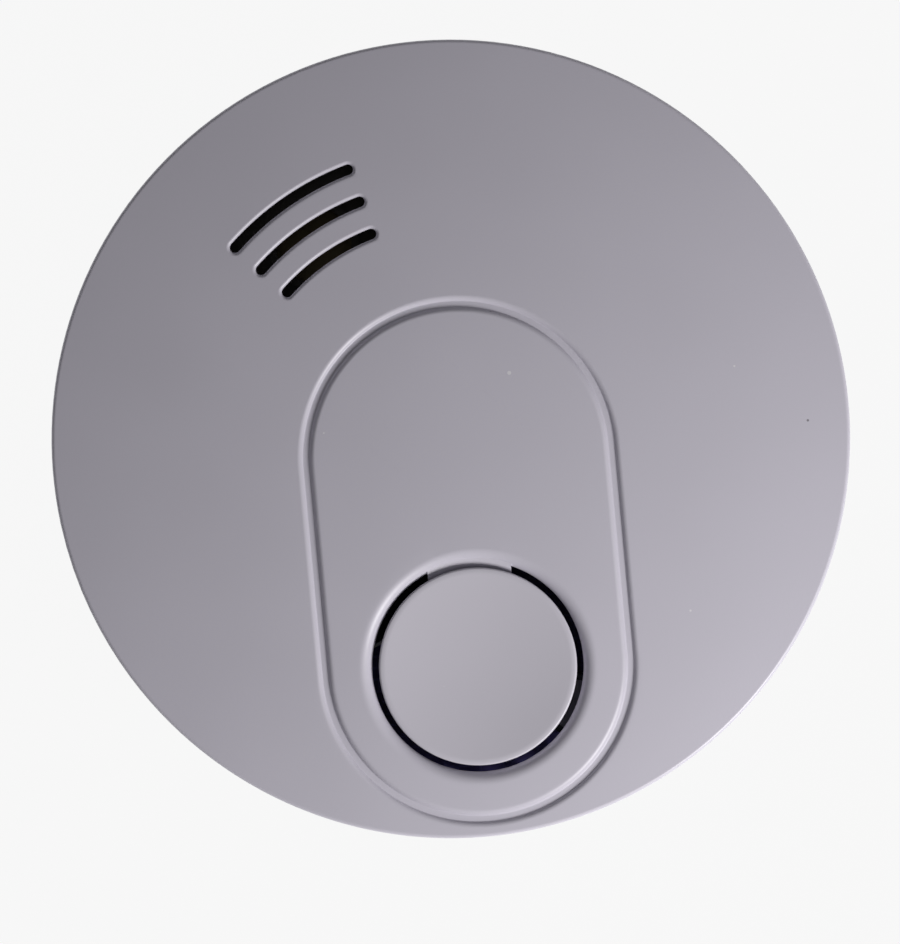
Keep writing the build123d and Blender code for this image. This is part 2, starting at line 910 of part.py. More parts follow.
def controller_pins():
    """Gull-wing pins along both sides of the controller."""
    pins = []
    half = controller_width / 2
    for turn in (0, 180):
        for index in range(controller_pin_count // 2):
            y = (index - (controller_pin_count // 2 - 1) / 2) * controller_pin_pitch
            left = y - pin_width / 2
            right = y + pin_width / 2
            tip = half + pin_reach
            foot = block(half, tip, left, right, board_top, board_top + pin_thickness)
            rise = block(half, half + pin_thickness, left, right, board_top, board_top + pin_reach)
            pins.append(Pos(controller_x, controller_y, 0) * Rot(0, 0, turn) * (foot + rise))
    return pins


def horn_coil_place():
    """Plan position of the step-up coil."""
    return polar(coil_offset, coil_direction)


def coil_core():
    """Ferrite drum of the sounder's step-up coil."""
    x, y = horn_coil_place()
    top = board_top + coil_height
    drum = rod(x, y, board_top, board_top + coil_flange, coil_radius)
    drum += rod(x, y, board_top + 0.5, top - 0.5, coil_radius * coil_waist)
    drum += rod(x, y, top - coil_flange, top, coil_radius)
    return drum


def coil_winding():
    """Wound copper between the drum's flanges."""
    x, y = horn_coil_place()
    low = board_top + coil_flange + 0.1
    high = board_top + coil_height - coil_flange - 0.1
    return tube(x, y, low, high, coil_radius - winding_inset, coil_radius * coil_waist + 0.05)


def capacitor_cans():
    """Aluminium cans with their grooved seal."""
    cans = []
    groove = board_top + capacitor_groove_height
    for x, y, radius in capacitor_places:
        can = rod(x, y, board_top + capacitor_stand, board_top + capacitor_height, radius)
        depth = radius - capacitor_groove_depth
        can -= tube(x, y, groove, groove + capacitor_groove_width, radius + 1, depth)
        cans.append(can)
    return cans


def capacitor_sleeves():
    """Plastic sleeves that leave the can's top bare."""
    sleeves = []
    for x, y, radius in capacitor_places:
        top = board_top + capacitor_height + capacitor_sleeve
        outer = radius + capacitor_sleeve
        sleeve = tube(x, y, board_top + capacitor_stand, top, outer, radius + 0.01)
        lap = radius - capacitor_top_lap
        sleeve += tube(x, y, board_top + capacitor_height + 0.01, top, outer, lap)
        sleeves.append(sleeve)
    return sleeves


def chip_parts():
    """Small surface-mounted resistors and capacitors."""
    chips = []
    half_x = chip_length / 2
    half_y = chip_width / 2
    top = board_top + chip_height
    for first_x, first_y, columns, rows in chip_rows:
        for column in range(columns):
            for row in range(rows):
                x = first_x + column * chip_pitch
                y = first_y + row * chip_pitch
                chips.append(block(x - half_x, x + half_x, y - half_y, y + half_y, board_top, top))
    return chips


def led_place():
    """Plan position of the status light beside the switch."""
    return button_x + led_offset_x, button_y + led_offset_y


def status_led():
    """Round-nosed light that shines through the gap round the button."""
    x, y = led_place()
    low = board_top + led_stand
    body = rod(x, y, low, low + led_length, led_radius)
    body += rod(x, y, low, low + led_flange_height, led_flange_radius)
    return body + Pos(x, y, low + led_length) * Sphere(led_radius)


def led_leads():
    """Two straight leads below the status light."""
    x, y = led_place()
    leads = []
    half = led_lead_width / 2
    for side in (-1, 1):
        lead_x = x + side * led_lead_pitch / 2
        top = board_top + led_stand
        leads.append(block(lead_x - half, lead_x + half, y - half, y + half, board_top, top))
    return leads


def battery_bar(inset, corner, half_length):
    """Rounded bar on the battery's axes, inset from the battery's sides."""
    outline = RectangleRounded(battery_width - 2 * inset, battery_thickness - 2 * inset, corner)
    bar = extrude(Plane.XZ * outline, half_length, both=True)
    return Pos(0, 0, battery_middle) * bar


def battery_shift():
    """How far the battery's middle lies from the pocket's middle."""
    return -pocket_length / 2 + battery_clearance + battery_length / 2


def terminal_end():
    """Place of the battery's terminal end along its axis."""
    return battery_shift() + battery_length / 2


def battery_can():
    """Sheet jacket of the battery, open at both ends."""
    jacket = battery_bar(0, battery_corner, battery_length / 2)
    jacket -= battery_bar(battery_skin, battery_corner - battery_skin, battery_length)
    return on_battery_axes() * Pos(0, battery_shift(), 0) * jacket


def battery_plug(start, end):
    """End plate that closes the battery's jacket."""
    plate = battery_bar(battery_skin + 0.01, battery_corner - battery_skin, (end - start) / 2)
    return on_battery_axes() * Pos(0, (start + end) / 2, 0) * plate


def battery_cells():
    """Six cells in two rows inside the battery."""
    cells = []
    length = battery_length - 2 * cell_end_room
    for column in (-1, 0, 1):
        for row in (-1, 1):
            cell = Cylinder(cell_room - cell_clearance, length, rotation=(90, 0, 0))
            place = Pos(column * 2 * cell_room, battery_shift(), battery_middle + row * cell_room)
            cells.append(on_battery_axes() * place * cell)
    return cells


def battery_snap(side, socket):
    """Snap terminal: a plain stud, or a wider socket with a hollow."""
    outer = socket_radius if socket else stud_radius
    stud = Cylinder(outer, snap_height, rotation=(90, 0, 0))
    if socket:
        hollow = Cylinder(socket_bore_radius, snap_height, rotation=(90, 0, 0))
        stud -= Pos(0, socket_floor, 0) * hollow
    place = Pos(side * snap_spacing / 2, terminal_end() + snap_height / 2, battery_middle)
    return on_battery_axes() * place * stud


def terminal_block():
    """Insulating plate at the pocket's end that carries both contacts."""
    end = pocket_length / 2
    half = block_half_width
    low = battery_middle - block_drop
    return on_battery_axes() * block(-half, half, end - block_thickness, end, low, pocket_top)


def battery_contact(side, spread):
    """Spring clip with a back plate and two bowed ears."""
    end = pocket_length / 2 - block_thickness
    x = side * snap_spacing / 2
    half = clip_half_width
    tall = clip_half_height
    sheet = clip_thickness
    clip = block(x - half, x + half, end - sheet, end, battery_middle - tall, battery_middle + tall)
    low = battery_middle - ear_half_height
    high = battery_middle + ear_half_height
    for turn in (-1, 1):
        ear = x + turn * spread
        clip += block(ear - sheet / 2, ear + sheet / 2, end - ear_reach, end - sheet / 2, low, high)
    return on_battery_axes() * clip


def contact_wire(side):
    """Insulated wire from a contact over the pocket wall to the board."""
    z = board_top + wire_height
    start = on_battery_axes() * Pos(side * snap_spacing / 2, pocket_length / 2 + pocket_wall, z)
    x = start.position.X
    y = start.position.Y
    out_x, out_y = polar(wire_reach, battery_direction + 90)
    route = FilletPolyline(
        (x, y, z),
        (x + out_x, y + out_y, z),
        (x + out_x, y + out_y, board_top),
        radius=wire_bend,
    )
    section = Plane(origin=route @ 0, z_dir=route % 0) * Circle(wire_radius)
    return sweep(section, route)


def rating_label():
    """Blank sticker on the housing's back."""
    x, y = label_low_corner
    low = floor_bottom - label_thickness
    return block(x, x + label_width, y, y + label_height, low, floor_bottom)


def write_node(name, shape):
    """Write one node, joining a list of solids into one compound."""
    solids = shape if isinstance(shape, list) else [shape]
    bodies = [solid for item in solids for solid in item.solids()]
    export_step(Compound(children=bodies) if len(bodies) > 1 else bodies[0], f"parts/{name}.step")


def main():
    """Build every node and write its file."""
    os.makedirs("parts", exist_ok=True)
    end = terminal_end()
    base = battery_shift() - battery_length / 2
    nodes = {
        "mounting_bracket": mounting_bracket(),
        "rear_housing": rear_housing(),
        "vent_ring": vent_ring(),
        "front_cover": front_cover(),
        "test_button": test_button(),
        "switch_plunger": switch_plunger(),
        "test_switch_body": test_switch_body(),
        "switch_terminals": switch_terminals(),
        "circuit_board": circuit_board(),
        "board_screws": board_screws(),
        "chamber_base": chamber_base(),
        "chamber_cap": chamber_cap(),
        "insect_mesh": insect_mesh(),
        "ir_emitter": optic(0),
        "light_receiver": optic(1),
        "sensor_leads": sensor_leads(),
        "receiver_shield": receiver_shield(),
        "horn_housing": horn_housing(),
        "piezo_plate": piezo_plate(),
        "piezo_ceramic": piezo_ceramic(),
        "horn_contacts": horn_contacts(),
        "controller_ic": controller_ic(),
        "controller_pins": controller_pins(),
        "coil_core": coil_core(),
        "coil_winding": coil_winding(),
        "capacitor_cans": capacitor_cans(),
        "capacitor_sleeves": capacitor_sleeves(),
        "chip_parts": chip_parts(),
        "status_led": status_led(),
        "led_leads": led_leads(),
        "battery_can": battery_can(),
        "battery_cells": battery_cells(),
        "battery_top_plate": battery_plug(end - battery_plate_thickness, end),
        "battery_base_plate": battery_plug(base, base + battery_plate_thickness),
        "battery_positive_snap": battery_snap(-1, False),
        "battery_negative_snap": battery_snap(1, True),
        "terminal_block": terminal_block(),
        "positive_contact": battery_contact(-1, stud_ear_spread),
        "negative_contact": battery_contact(1, socket_ear_spread),
        "positive_wire": contact_wire(-1),
        "negative_wire": contact_wire(1),
        "rating_label": rating_label(),
    }
    for name, shape in nodes.items():
        write_node(name, shape)


main()
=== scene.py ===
"""Looks of a round ceiling smoke alarm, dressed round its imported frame, in metres."""

import json
import logging
import math
from collections.abc import Callable
from dataclasses import dataclass, field
from enum import Enum

import bmesh
import bpy
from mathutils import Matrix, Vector


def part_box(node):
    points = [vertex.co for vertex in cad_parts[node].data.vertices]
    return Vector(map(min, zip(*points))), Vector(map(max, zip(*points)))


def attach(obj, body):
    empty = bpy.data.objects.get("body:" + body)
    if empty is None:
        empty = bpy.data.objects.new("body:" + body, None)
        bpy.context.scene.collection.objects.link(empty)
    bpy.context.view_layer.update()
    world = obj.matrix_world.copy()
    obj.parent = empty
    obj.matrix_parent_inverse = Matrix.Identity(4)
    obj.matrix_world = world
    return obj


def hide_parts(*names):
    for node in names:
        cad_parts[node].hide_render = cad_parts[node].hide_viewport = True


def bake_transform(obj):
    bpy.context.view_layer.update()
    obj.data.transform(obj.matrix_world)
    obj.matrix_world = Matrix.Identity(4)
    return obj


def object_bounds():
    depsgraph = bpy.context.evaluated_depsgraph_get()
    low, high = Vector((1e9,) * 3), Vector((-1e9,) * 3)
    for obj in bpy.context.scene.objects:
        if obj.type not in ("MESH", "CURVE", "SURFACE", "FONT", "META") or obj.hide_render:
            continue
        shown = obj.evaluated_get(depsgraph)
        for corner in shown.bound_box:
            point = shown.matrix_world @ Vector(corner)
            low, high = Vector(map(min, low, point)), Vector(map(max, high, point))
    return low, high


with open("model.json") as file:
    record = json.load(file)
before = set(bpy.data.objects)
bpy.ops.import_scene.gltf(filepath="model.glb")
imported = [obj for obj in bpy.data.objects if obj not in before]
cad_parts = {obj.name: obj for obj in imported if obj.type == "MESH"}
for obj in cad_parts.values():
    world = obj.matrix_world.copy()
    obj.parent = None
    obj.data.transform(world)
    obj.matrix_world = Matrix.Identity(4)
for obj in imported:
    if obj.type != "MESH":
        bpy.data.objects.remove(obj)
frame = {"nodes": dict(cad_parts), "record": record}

MM = 0.001
CAD_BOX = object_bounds()
LOG = logging.getLogger("smoke_alarm")
SHARP_ANGLE = 32.0
RIM_DROP = 3.5 * MM

Colour = tuple[float, float, float]


class Body(Enum):
    """The rigid bodies that pieces ride on."""

    BRACKET = "bracket"
    ALARM = "alarm"
    BUTTON = "test_button"


# Shader groups shared by the finishes


class NodeBench:
    """Short helpers for laying and wiring shader nodes in one tree."""

    def __init__(self, tree: bpy.types.NodeTree) -> None:
        """Keep the tree that nodes are laid in."""
        self.tree = tree

    def node(self, kind: str, **values: object) -> bpy.types.Node:
        """Lay one node.

        Args:
            kind: Blender's name of the node type.
            values: attributes to set on the node.

        Returns:
            The new node.
        """
        made = self.tree.nodes.new(kind)
        for name, value in values.items():
            setattr(made, name, value)
        return made

    def wire(self, start: bpy.types.NodeSocket, end: bpy.types.NodeSocket) -> None:
        """Join two sockets."""
        self.tree.links.new(start, end)

    def noise(
        self, vector: bpy.types.NodeSocket, scale: float, detail: float, rough: float
    ) -> bpy.types.Node:
        """Lay a noise texture.

        Args:
            vector: coordinates to read.
            scale: cells per metre.
            detail: octaves.
            rough: how strong the small octaves are.

        Returns:
            The noise node.
        """
        made = self.node("ShaderNodeTexNoise")
        made.inputs["Scale"].default_value = scale
        made.inputs["Detail"].default_value = detail
        made.inputs["Roughness"].default_value = rough
        self.wire(vector, made.inputs["Vector"])
        return made

    def math(self, operation: str, first: object, second: object = None) -> bpy.types.NodeSocket:
        """Lay a maths node.

        Args:
            operation: Blender's name of the operation.
            first: a socket or a number.
            second: a socket or a number.

        Returns:
            The result's socket.
        """
        made = self.node("ShaderNodeMath", operation=operation)
        for index, value in enumerate((first, second)):
            if isinstance(value, bpy.types.NodeSocket):
                self.wire(value, made.inputs[index])
            elif value is not None:
                made.inputs[index].default_value = value
        return made.outputs[0]

    def ramp(self, value: bpy.types.NodeSocket, low: float, high: float) -> bpy.types.NodeSocket:
        """Stretch a value so that low becomes 0 and high becomes 1.

        Args:
            value: socket to stretch.
            low: value that becomes 0.
            high: value that becomes 1.

        Returns:
            The stretched value's socket.
        """
        made = self.node("ShaderNodeMapRange")
        made.inputs["From Min"].default_value = low
        made.inputs["From Max"].default_value = high
        self.wire(value, made.inputs["Value"])
        return made.outputs["Result"]


class SharedGroup:
    """A shader node group built once and placed in many materials."""

    def __init__(self, name: str, inputs: dict[str, float], outputs: dict[str, str]) -> None:
        """Make the empty group.

        Args:
            name: the group's name.
            inputs: each input's name and default.
            outputs: each output's name and socket type.
        """
        self.tree = bpy.data.node_groups.new(name, "ShaderNodeTree")
        self.tree.interface.new_socket("Vector", in_out="INPUT", socket_type="NodeSocketVector")
        for socket, default in inputs.items():
            made = self.tree.interface.new_socket(
                socket, in_out="INPUT", socket_type="NodeSocketFloat"
            )
            made.default_value = default
        for socket, kind in outputs.items():
            self.tree.interface.new_socket(socket, in_out="OUTPUT", socket_type=kind)
        self.bench = NodeBench(self.tree)
        self.entry = self.bench.node("NodeGroupInput")
        self.exit = self.bench.node("NodeGroupOutput")

    def place(
        self, bench: NodeBench, vector: bpy.types.NodeSocket, **values: float
    ) -> bpy.types.Node:
        """Place the group in a material.

        Args:
            bench: the material's bench.
            vector: coordinates for the group.
            values: input values by name.

        Returns:
            The placed group node.
        """
        placed = bench.node("ShaderNodeGroup", node_tree=self.tree)
        bench.wire(vector, placed.inputs["Vector"])
        for name, value in values.items():
            placed.inputs[name].default_value = value
        return placed


def build_moulding_group() -> SharedGroup:
    """Fine spark-eroded grain over a faint long waviness, as moulded plastic has.

    Returns:
        The group, with outputs Height and Tone.
    """
    group = SharedGroup(
        "moulded_grain",
        {"Grain Scale": 2600.0, "Grain Depth": 0.5, "Wave Scale": 60.0, "Wave Depth": 0.5},
        {"Height": "NodeSocketFloat", "Tone": "NodeSocketFloat"},
    )
    bench = group.bench
    vector = group.entry.outputs["Vector"]
    grain = bench.noise(vector, 1.0, 2.0, 0.6)
    bench.wire(group.entry.outputs["Grain Scale"], grain.inputs["Scale"])
    wave = bench.noise(vector, 1.0, 1.0, 0.4)
    bench.wire(group.entry.outputs["Wave Scale"], wave.inputs["Scale"])
    fine = bench.math("MULTIPLY", grain.outputs["Fac"], group.entry.outputs["Grain Depth"])
    broad = bench.math("MULTIPLY", wave.outputs["Fac"], group.entry.outputs["Wave Depth"])
    bench.wire(bench.math("ADD", fine, broad), group.exit.inputs["Height"])
    bench.wire(bench.ramp(wave.outputs["Fac"], 0.3, 0.7), group.exit.inputs["Tone"])
    return group


def build_speck_group() -> SharedGroup:
    """Sparse round specks of dust or dirt, each cell with its own chance.

    Returns:
        The group, with output Mask.
    """
    inputs = {"Scale": 260.0, "Size": 0.05, "Share": 0.12}
    group = SharedGroup("specks", inputs, {"Mask": "NodeSocketFloat"})
    bench = group.bench
    cells = bench.node("ShaderNodeTexVoronoi", feature="F1")
    bench.wire(group.entry.outputs["Vector"], cells.inputs["Vector"])
    bench.wire(group.entry.outputs["Scale"], cells.inputs["Scale"])
    chance = bench.node("ShaderNodeSeparateColor")
    bench.wire(cells.outputs["Color"], chance.inputs["Color"])
    kept = bench.math("LESS_THAN", chance.outputs["Red"], group.entry.outputs["Share"])
    size = bench.math("MULTIPLY", chance.outputs["Green"], group.entry.outputs["Size"])
    near = bench.math("LESS_THAN", cells.outputs["Distance"], size)
    bench.wire(bench.math("MULTIPLY", kept, near), group.exit.inputs["Mask"])
    return group


def build_scratch_group() -> SharedGroup:
    """Thin straight hairline marks from handling.

    Returns:
        The group, with output Mask.
    """
    inputs = {"Turn": 0.6, "Scale": 300.0, "Share": 0.72}
    group = SharedGroup("hairlines", inputs, {"Mask": "NodeSocketFloat"})
    bench = group.bench
    turned = bench.node("ShaderNodeVectorRotate", rotation_type="Z_AXIS")
    bench.wire(group.entry.outputs["Vector"], turned.inputs["Vector"])
    bench.wire(group.entry.outputs["Turn"], turned.inputs["Angle"])
    stretched = bench.node("ShaderNodeVectorMath", operation="MULTIPLY")
    stretched.inputs[1].default_value = (0.05, 1.0, 1.0)
    bench.wire(turned.outputs[0], stretched.inputs[0])
    streaks = bench.noise(stretched.outputs[0], 1.0, 3.0, 0.75)
    bench.wire(group.entry.outputs["Scale"], streaks.inputs["Scale"])
    above = bench.math("SUBTRACT", streaks.outputs["Fac"], group.entry.outputs["Share"])
    bench.wire(bench.ramp(above, 0.0, 0.05), group.exit.inputs["Mask"])
    return group


@dataclass(frozen=True)
class SharedGroups:
    """The shader groups that the finishes share."""

    moulding: SharedGroup
    specks: SharedGroup
    hairlines: SharedGroup


GROUPS = SharedGroups(build_moulding_group(), build_speck_group(), build_scratch_group())


# Finishes


@dataclass(frozen=True)
class Finish:
    """Base of every finish: a named material on object coordinates."""

    name: str
    colour: Colour
    roughness: float = 0.5

    def start(self) -> tuple[bpy.types.Material, NodeBench, bpy.types.Node, bpy.types.NodeSocket]:
        """Make the material with its shader.

        Returns:
            The material, its bench, its shader node and its coordinate socket.
        """
        material = bpy.data.materials.new(self.name)
        material.use_nodes = True
        bench = NodeBench(material.node_tree)
        shader = material.node_tree.nodes["Principled BSDF"]
        coordinates = bench.node("ShaderNodeTexCoord").outputs["Object"]
        return material, bench, shader, coordinates

    def mix(
        self,
        bench: NodeBench,
        mask: bpy.types.NodeSocket,
        first: object,
        second: Colour,
    ) -> bpy.types.NodeSocket:
        """Lay a colour mix.

        Args:
            bench: the material's bench.
            mask: how much of the second colour shows.
            first: a colour or a colour socket.
            second: the colour laid over it.

        Returns:
            The mixed colour's socket.
        """
        made = bench.node("ShaderNodeMix", data_type="RGBA")
        bench.wire(mask, made.inputs["Factor"])
        under = made.inputs[6]
        if isinstance(first, bpy.types.NodeSocket):
            bench.wire(first, under)
        else:
            under.default_value = (*first, 1.0)
        made.inputs[7].default_value = (*second, 1.0)
        return made.outputs[2]

    def relief(
        self, bench: NodeBench, shader: bpy.types.Node, height: bpy.types.NodeSocket, depth: float
    ) -> None:
        """Feed a height into the shader's normal.

        Args:
            bench: the material's bench.
            shader: the shader that takes the normal.
            height: socket of the height.
            depth: height of the relief in metres.
        """
        bump = bench.node("ShaderNodeBump")
        bump.inputs["Strength"].default_value = 1.0
        bump.inputs["Distance"].default_value = depth
        bench.wire(height, bump.inputs["Height"])
        bench.wire(bump.outputs["Normal"], shader.inputs["Normal"])


@dataclass(frozen=True)
class MouldedPlastic(Finish):
    """Moulded plastic with grain, faint tone drift, dust and hairlines."""

    grain_depth: float = 0.000012
    grain_scale: float = 2600.0
    tone_shift: float = 0.03
    light_specks: float = 0.0
    dark_specks: float = 0.0
    hairline: float = 0.0
    specular: float = 0.5

    def build(self) -> bpy.types.Material:
        """Lay the material's nodes.

        Returns:
            The finished material.
        """
        material, bench, shader, where = self.start()
        grain = GROUPS.moulding.place(
            bench, where, **{"Grain Scale": self.grain_scale, "Grain Depth": 0.6, "Wave Depth": 0.4}
        )
        darker = tuple(channel * (1.0 - self.tone_shift) for channel in self.colour)
        colour = self.mix(bench, grain.outputs["Tone"], self.colour, darker)
        if self.hairline:
            marks = GROUPS.hairlines.place(bench, where)
            share = bench.math("MULTIPLY", marks.outputs["Mask"], self.hairline)
            paler = tuple(min(1.0, channel * 1.25) for channel in self.colour)
            colour = self.mix(bench, share, colour, paler)
        if self.light_specks:
            dust = GROUPS.specks.place(
                bench, where, Scale=240.0, Size=0.07, Share=self.light_specks
            )
            share = bench.math("MULTIPLY", dust.outputs["Mask"], 0.55)
            colour = self.mix(bench, share, colour, (0.86, 0.85, 0.86))
        if self.dark_specks:
            dirt = GROUPS.specks.place(
                bench, where, Scale=150.0, Size=0.035, Share=self.dark_specks
            )
            share = bench.math("MULTIPLY", dirt.outputs["Mask"], 0.7)
            colour = self.mix(bench, share, colour, (0.10, 0.09, 0.10))
        bench.wire(colour, shader.inputs["Base Color"])
        spread = bench.math("MULTIPLY", grain.outputs["Tone"], 0.08)
        bench.wire(bench.math("ADD", spread, self.roughness - 0.04), shader.inputs["Roughness"])
        shader.inputs["Specular IOR Level"].default_value = self.specular
        self.relief(bench, shader, grain.outputs["Height"], self.grain_depth)
        return material


@dataclass(frozen=True)
class Metal(Finish):
    """Sheet, wire or plated metal with fine streaks and a tone drift."""

    streaks: float = 0.08
    tarnish: float = 0.10

    def build(self) -> bpy.types.Material:
        """Lay the material's nodes.

        Returns:
            The finished material.
        """
        material, bench, shader, where = self.start()
        shader.inputs["Metallic"].default_value = 1.0
        grain = GROUPS.moulding.place(bench, where, **{"Grain Scale": 1800.0, "Wave Scale": 240.0})
        darker = tuple(channel * (1.0 - self.tarnish) for channel in self.colour)
        colour = self.mix(bench, grain.outputs["Tone"], self.colour, darker)
        bench.wire(colour, shader.inputs["Base Color"])
        marks = GROUPS.hairlines.place(bench, where, Scale=900.0, Share=0.55)
        rough = bench.math("MULTIPLY", marks.outputs["Mask"], self.streaks)
        bench.wire(bench.math("ADD", rough, self.roughness), shader.inputs["Roughness"])
        self.relief(bench, shader, grain.outputs["Height"], 0.000004)
        return material


@dataclass(frozen=True)
class Laminate(Finish):
    """Solder-masked board with copper tracks that show as paler ridges."""

    track: Colour = (0.12, 0.11, 0.34)

    def build(self) -> bpy.types.Material:
        """Lay the material's nodes.

        Returns:
            The finished material.
        """
        material, bench, shader, where = self.start()
        tracks = bench.node("ShaderNodeTexBrick")
        tracks.inputs["Scale"].default_value = 160.0
        tracks.inputs["Mortar Size"].default_value = 0.03
        tracks.inputs["Color1"].default_value = (0.0, 0.0, 0.0, 1.0)
        tracks.inputs["Color2"].default_value = (0.0, 0.0, 0.0, 1.0)
        tracks.inputs["Mortar"].default_value = (1.0, 1.0, 1.0, 1.0)
        bench.wire(where, tracks.inputs["Vector"])
        grain = GROUPS.moulding.place(bench, where, **{"Grain Scale": 4000.0})
        base = self.mix(bench, tracks.outputs["Color"], self.colour, self.track)
        shade = tuple(channel * 0.8 for channel in self.colour)
        faint = bench.math("MULTIPLY", grain.outputs["Tone"], 0.4)
        bench.wire(self.mix(bench, faint, base, shade), shader.inputs["Base Color"])
        shader.inputs["Roughness"].default_value = self.roughness
        raised = bench.math("ADD", tracks.outputs["Color"], grain.outputs["Height"])
        self.relief(bench, shader, raised, 0.00002)
        return material


FINISHES: tuple[Finish, ...] = (
    MouldedPlastic(
        "cover_plastic",
        (0.60, 0.580, 0.652),
        0.38,
        light_specks=0.10,
        dark_specks=0.05,
        hairline=0.10,
    ),
    MouldedPlastic(
        "button_plastic",
        (0.61, 0.590, 0.655),
        0.36,
        grain_depth=0.000008,
        light_specks=0.12,
        dark_specks=0.03,
        hairline=0.25,
    ),
    MouldedPlastic("housing_plastic", (0.60, 0.58, 0.635), 0.5, dark_specks=0.04),
    MouldedPlastic("bracket_plastic", (0.60, 0.58, 0.625), 0.52, dark_specks=0.04),
    MouldedPlastic("vent_plastic", (0.59, 0.57, 0.625), 0.52),
    Laminate("board_laminate", (0.085, 0.070, 0.24), 0.32),
    MouldedPlastic("chamber_plastic", (0.012, 0.012, 0.014), 0.6),
    Metal("mesh_metal", (0.42, 0.43, 0.45), 0.38),
    MouldedPlastic("optic_epoxy", (0.03, 0.025, 0.08), 0.12, grain_depth=0.000002),
    Metal("lead_metal", (0.62, 0.62, 0.60), 0.25),
    Metal("shield_metal", (0.50, 0.50, 0.49), 0.3),
    MouldedPlastic("horn_plastic", (0.046, 0.040, 0.028), 0.5),
    # Brass darkened to about a third of its own tone: painted shade for the dim inside of the
    # alarm.
    Metal("brass_sheet", (0.20, 0.165, 0.10), 0.4),
    MouldedPlastic("silvered_ceramic", (0.60, 0.59, 0.55), 0.4),
    Metal("spring_steel", (0.52, 0.52, 0.52), 0.3),
    MouldedPlastic("ic_plastic", (0.016, 0.016, 0.018), 0.5),
    MouldedPlastic("ferrite", (0.035, 0.035, 0.04), 0.6),
    Metal("copper_wire", (0.50, 0.20, 0.08), 0.3),
    Metal("can_aluminium", (0.34, 0.33, 0.40), 0.35),
    MouldedPlastic("sleeve_plastic", (0.012, 0.016, 0.045), 0.25, grain_depth=0.000003),
    MouldedPlastic("chip_ceramic", (0.10, 0.075, 0.05), 0.4),
    MouldedPlastic("led_epoxy", (0.04, 0.22, 0.06), 0.2, grain_depth=0.000003),
    MouldedPlastic("battery_jacket", (0.05, 0.05, 0.055), 0.3, grain_depth=0.000003),
    Metal("cell_steel", (0.45, 0.45, 0.45), 0.35),
    MouldedPlastic("battery_plastic", (0.02, 0.02, 0.02), 0.5),
    Metal("snap_plating", (0.68, 0.68, 0.67), 0.2),
    MouldedPlastic("block_plastic", (0.03, 0.03, 0.034), 0.5),
    MouldedPlastic("switch_plastic", (0.02, 0.02, 0.02), 0.5),
    MouldedPlastic("plunger_plastic", (0.35, 0.33, 0.28), 0.45),
    MouldedPlastic("red_insulation", (0.32, 0.015, 0.012), 0.35, grain_depth=0.000004),
    MouldedPlastic("black_insulation", (0.012, 0.012, 0.012), 0.35, grain_depth=0.000004),
    MouldedPlastic("label_paper", (0.70, 0.70, 0.67), 0.45),
    Metal("screw_steel", (0.46, 0.45, 0.42), 0.32),
)


# Pieces


@dataclass
class Dresser:
    """Gives pieces and CAD nodes their finishes."""

    materials: dict[str, bpy.types.Material]

    @classmethod
    def with_finishes(cls, finishes: tuple[Finish, ...]) -> "Dresser":
        """Build every finish once."""
        return cls({finish.name: finish.build() for finish in finishes})

    def dress(self, piece: bpy.types.Object, slot: str) -> None:
        """Put one finish on a piece."""
        piece.data.materials.clear()
        piece.data.materials.append(self.materials[slot])

    def dress_nodes(self, record: dict, done: set[str]) -> None:
        """Put the record's finishes on the CAD nodes that still show.

        Args:
            record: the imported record.
            done: nodes that a piece already stands for.
        """
        for entry in record["subparts"]:
            if entry["node"] in done:
                continue
            self.dress(frame["nodes"][entry["node"]], entry["material_slot"])
            LOG.info("dressed %s in %s", entry["node"], entry["material_slot"])


Place = Callable[[int], Vector]


class RingShell:
    """A closed surface grown ring by ring from one circle of vertices."""

    def __init__(self, name: str, count: int) -> None:
        """Start with one circle.

        Args:
            name: the piece's name.
            count: vertices in each ring.
        """
        self.name = name
        self.count = count
        self.shape = bmesh.new()
        bmesh.ops.create_circle(self.shape, segments=count, radius=1.0)
        self.shape.verts.ensure_lookup_table()
        self.first = list(self.shape.verts)
        self.ring = self.first
        self.placed = False

    def edges_of(self, ring: list[bmesh.types.BMVert]) -> list[bmesh.types.BMEdge]:
        """Edges round one ring, in order."""
        pairs = zip(ring, ring[1:] + ring[:1])
        return [self.shape.edges.get(pair) for pair in pairs]

    def add(self, place: Place) -> None:
        """Place the first ring, or extrude and place the next.

        Args:
            place: gives each vertex of the ring its point.
        """
        if self.placed:
            grown = bmesh.ops.extrude_edge_only(self.shape, edges=self.edges_of(self.ring))["geom"]
            fresh = {item for item in grown if isinstance(item, bmesh.types.BMVert)}
            self.ring = [
                next(e.other_vert(v) for e in v.link_edges if e.other_vert(v) in fresh)
                for v in self.ring
            ]
        self.placed = True
        for index, vertex in enumerate(self.ring):
            vertex.co = place(index)

    def close_pole(self) -> None:
        """Draw the last ring together into one point."""
        middle = sum((vertex.co for vertex in self.ring), Vector()) / self.count
        bmesh.ops.pointmerge(self.shape, verts=self.ring, merge_co=middle)

    def join_ends(self) -> None:
        """Bridge the last ring to the first, so that the surface closes on itself."""
        ends = self.edges_of(self.ring) + self.edges_of(self.first)
        bmesh.ops.bridge_loops(self.shape, edges=ends)

    def finish(self) -> bpy.types.Object:
        """Turn the faces outwards and make the object.

        Returns:
            The object, smooth-shaded.
        """
        bmesh.ops.recalc_face_normals(self.shape, faces=self.shape.faces)
        return finish_shape(self.shape, self.name)


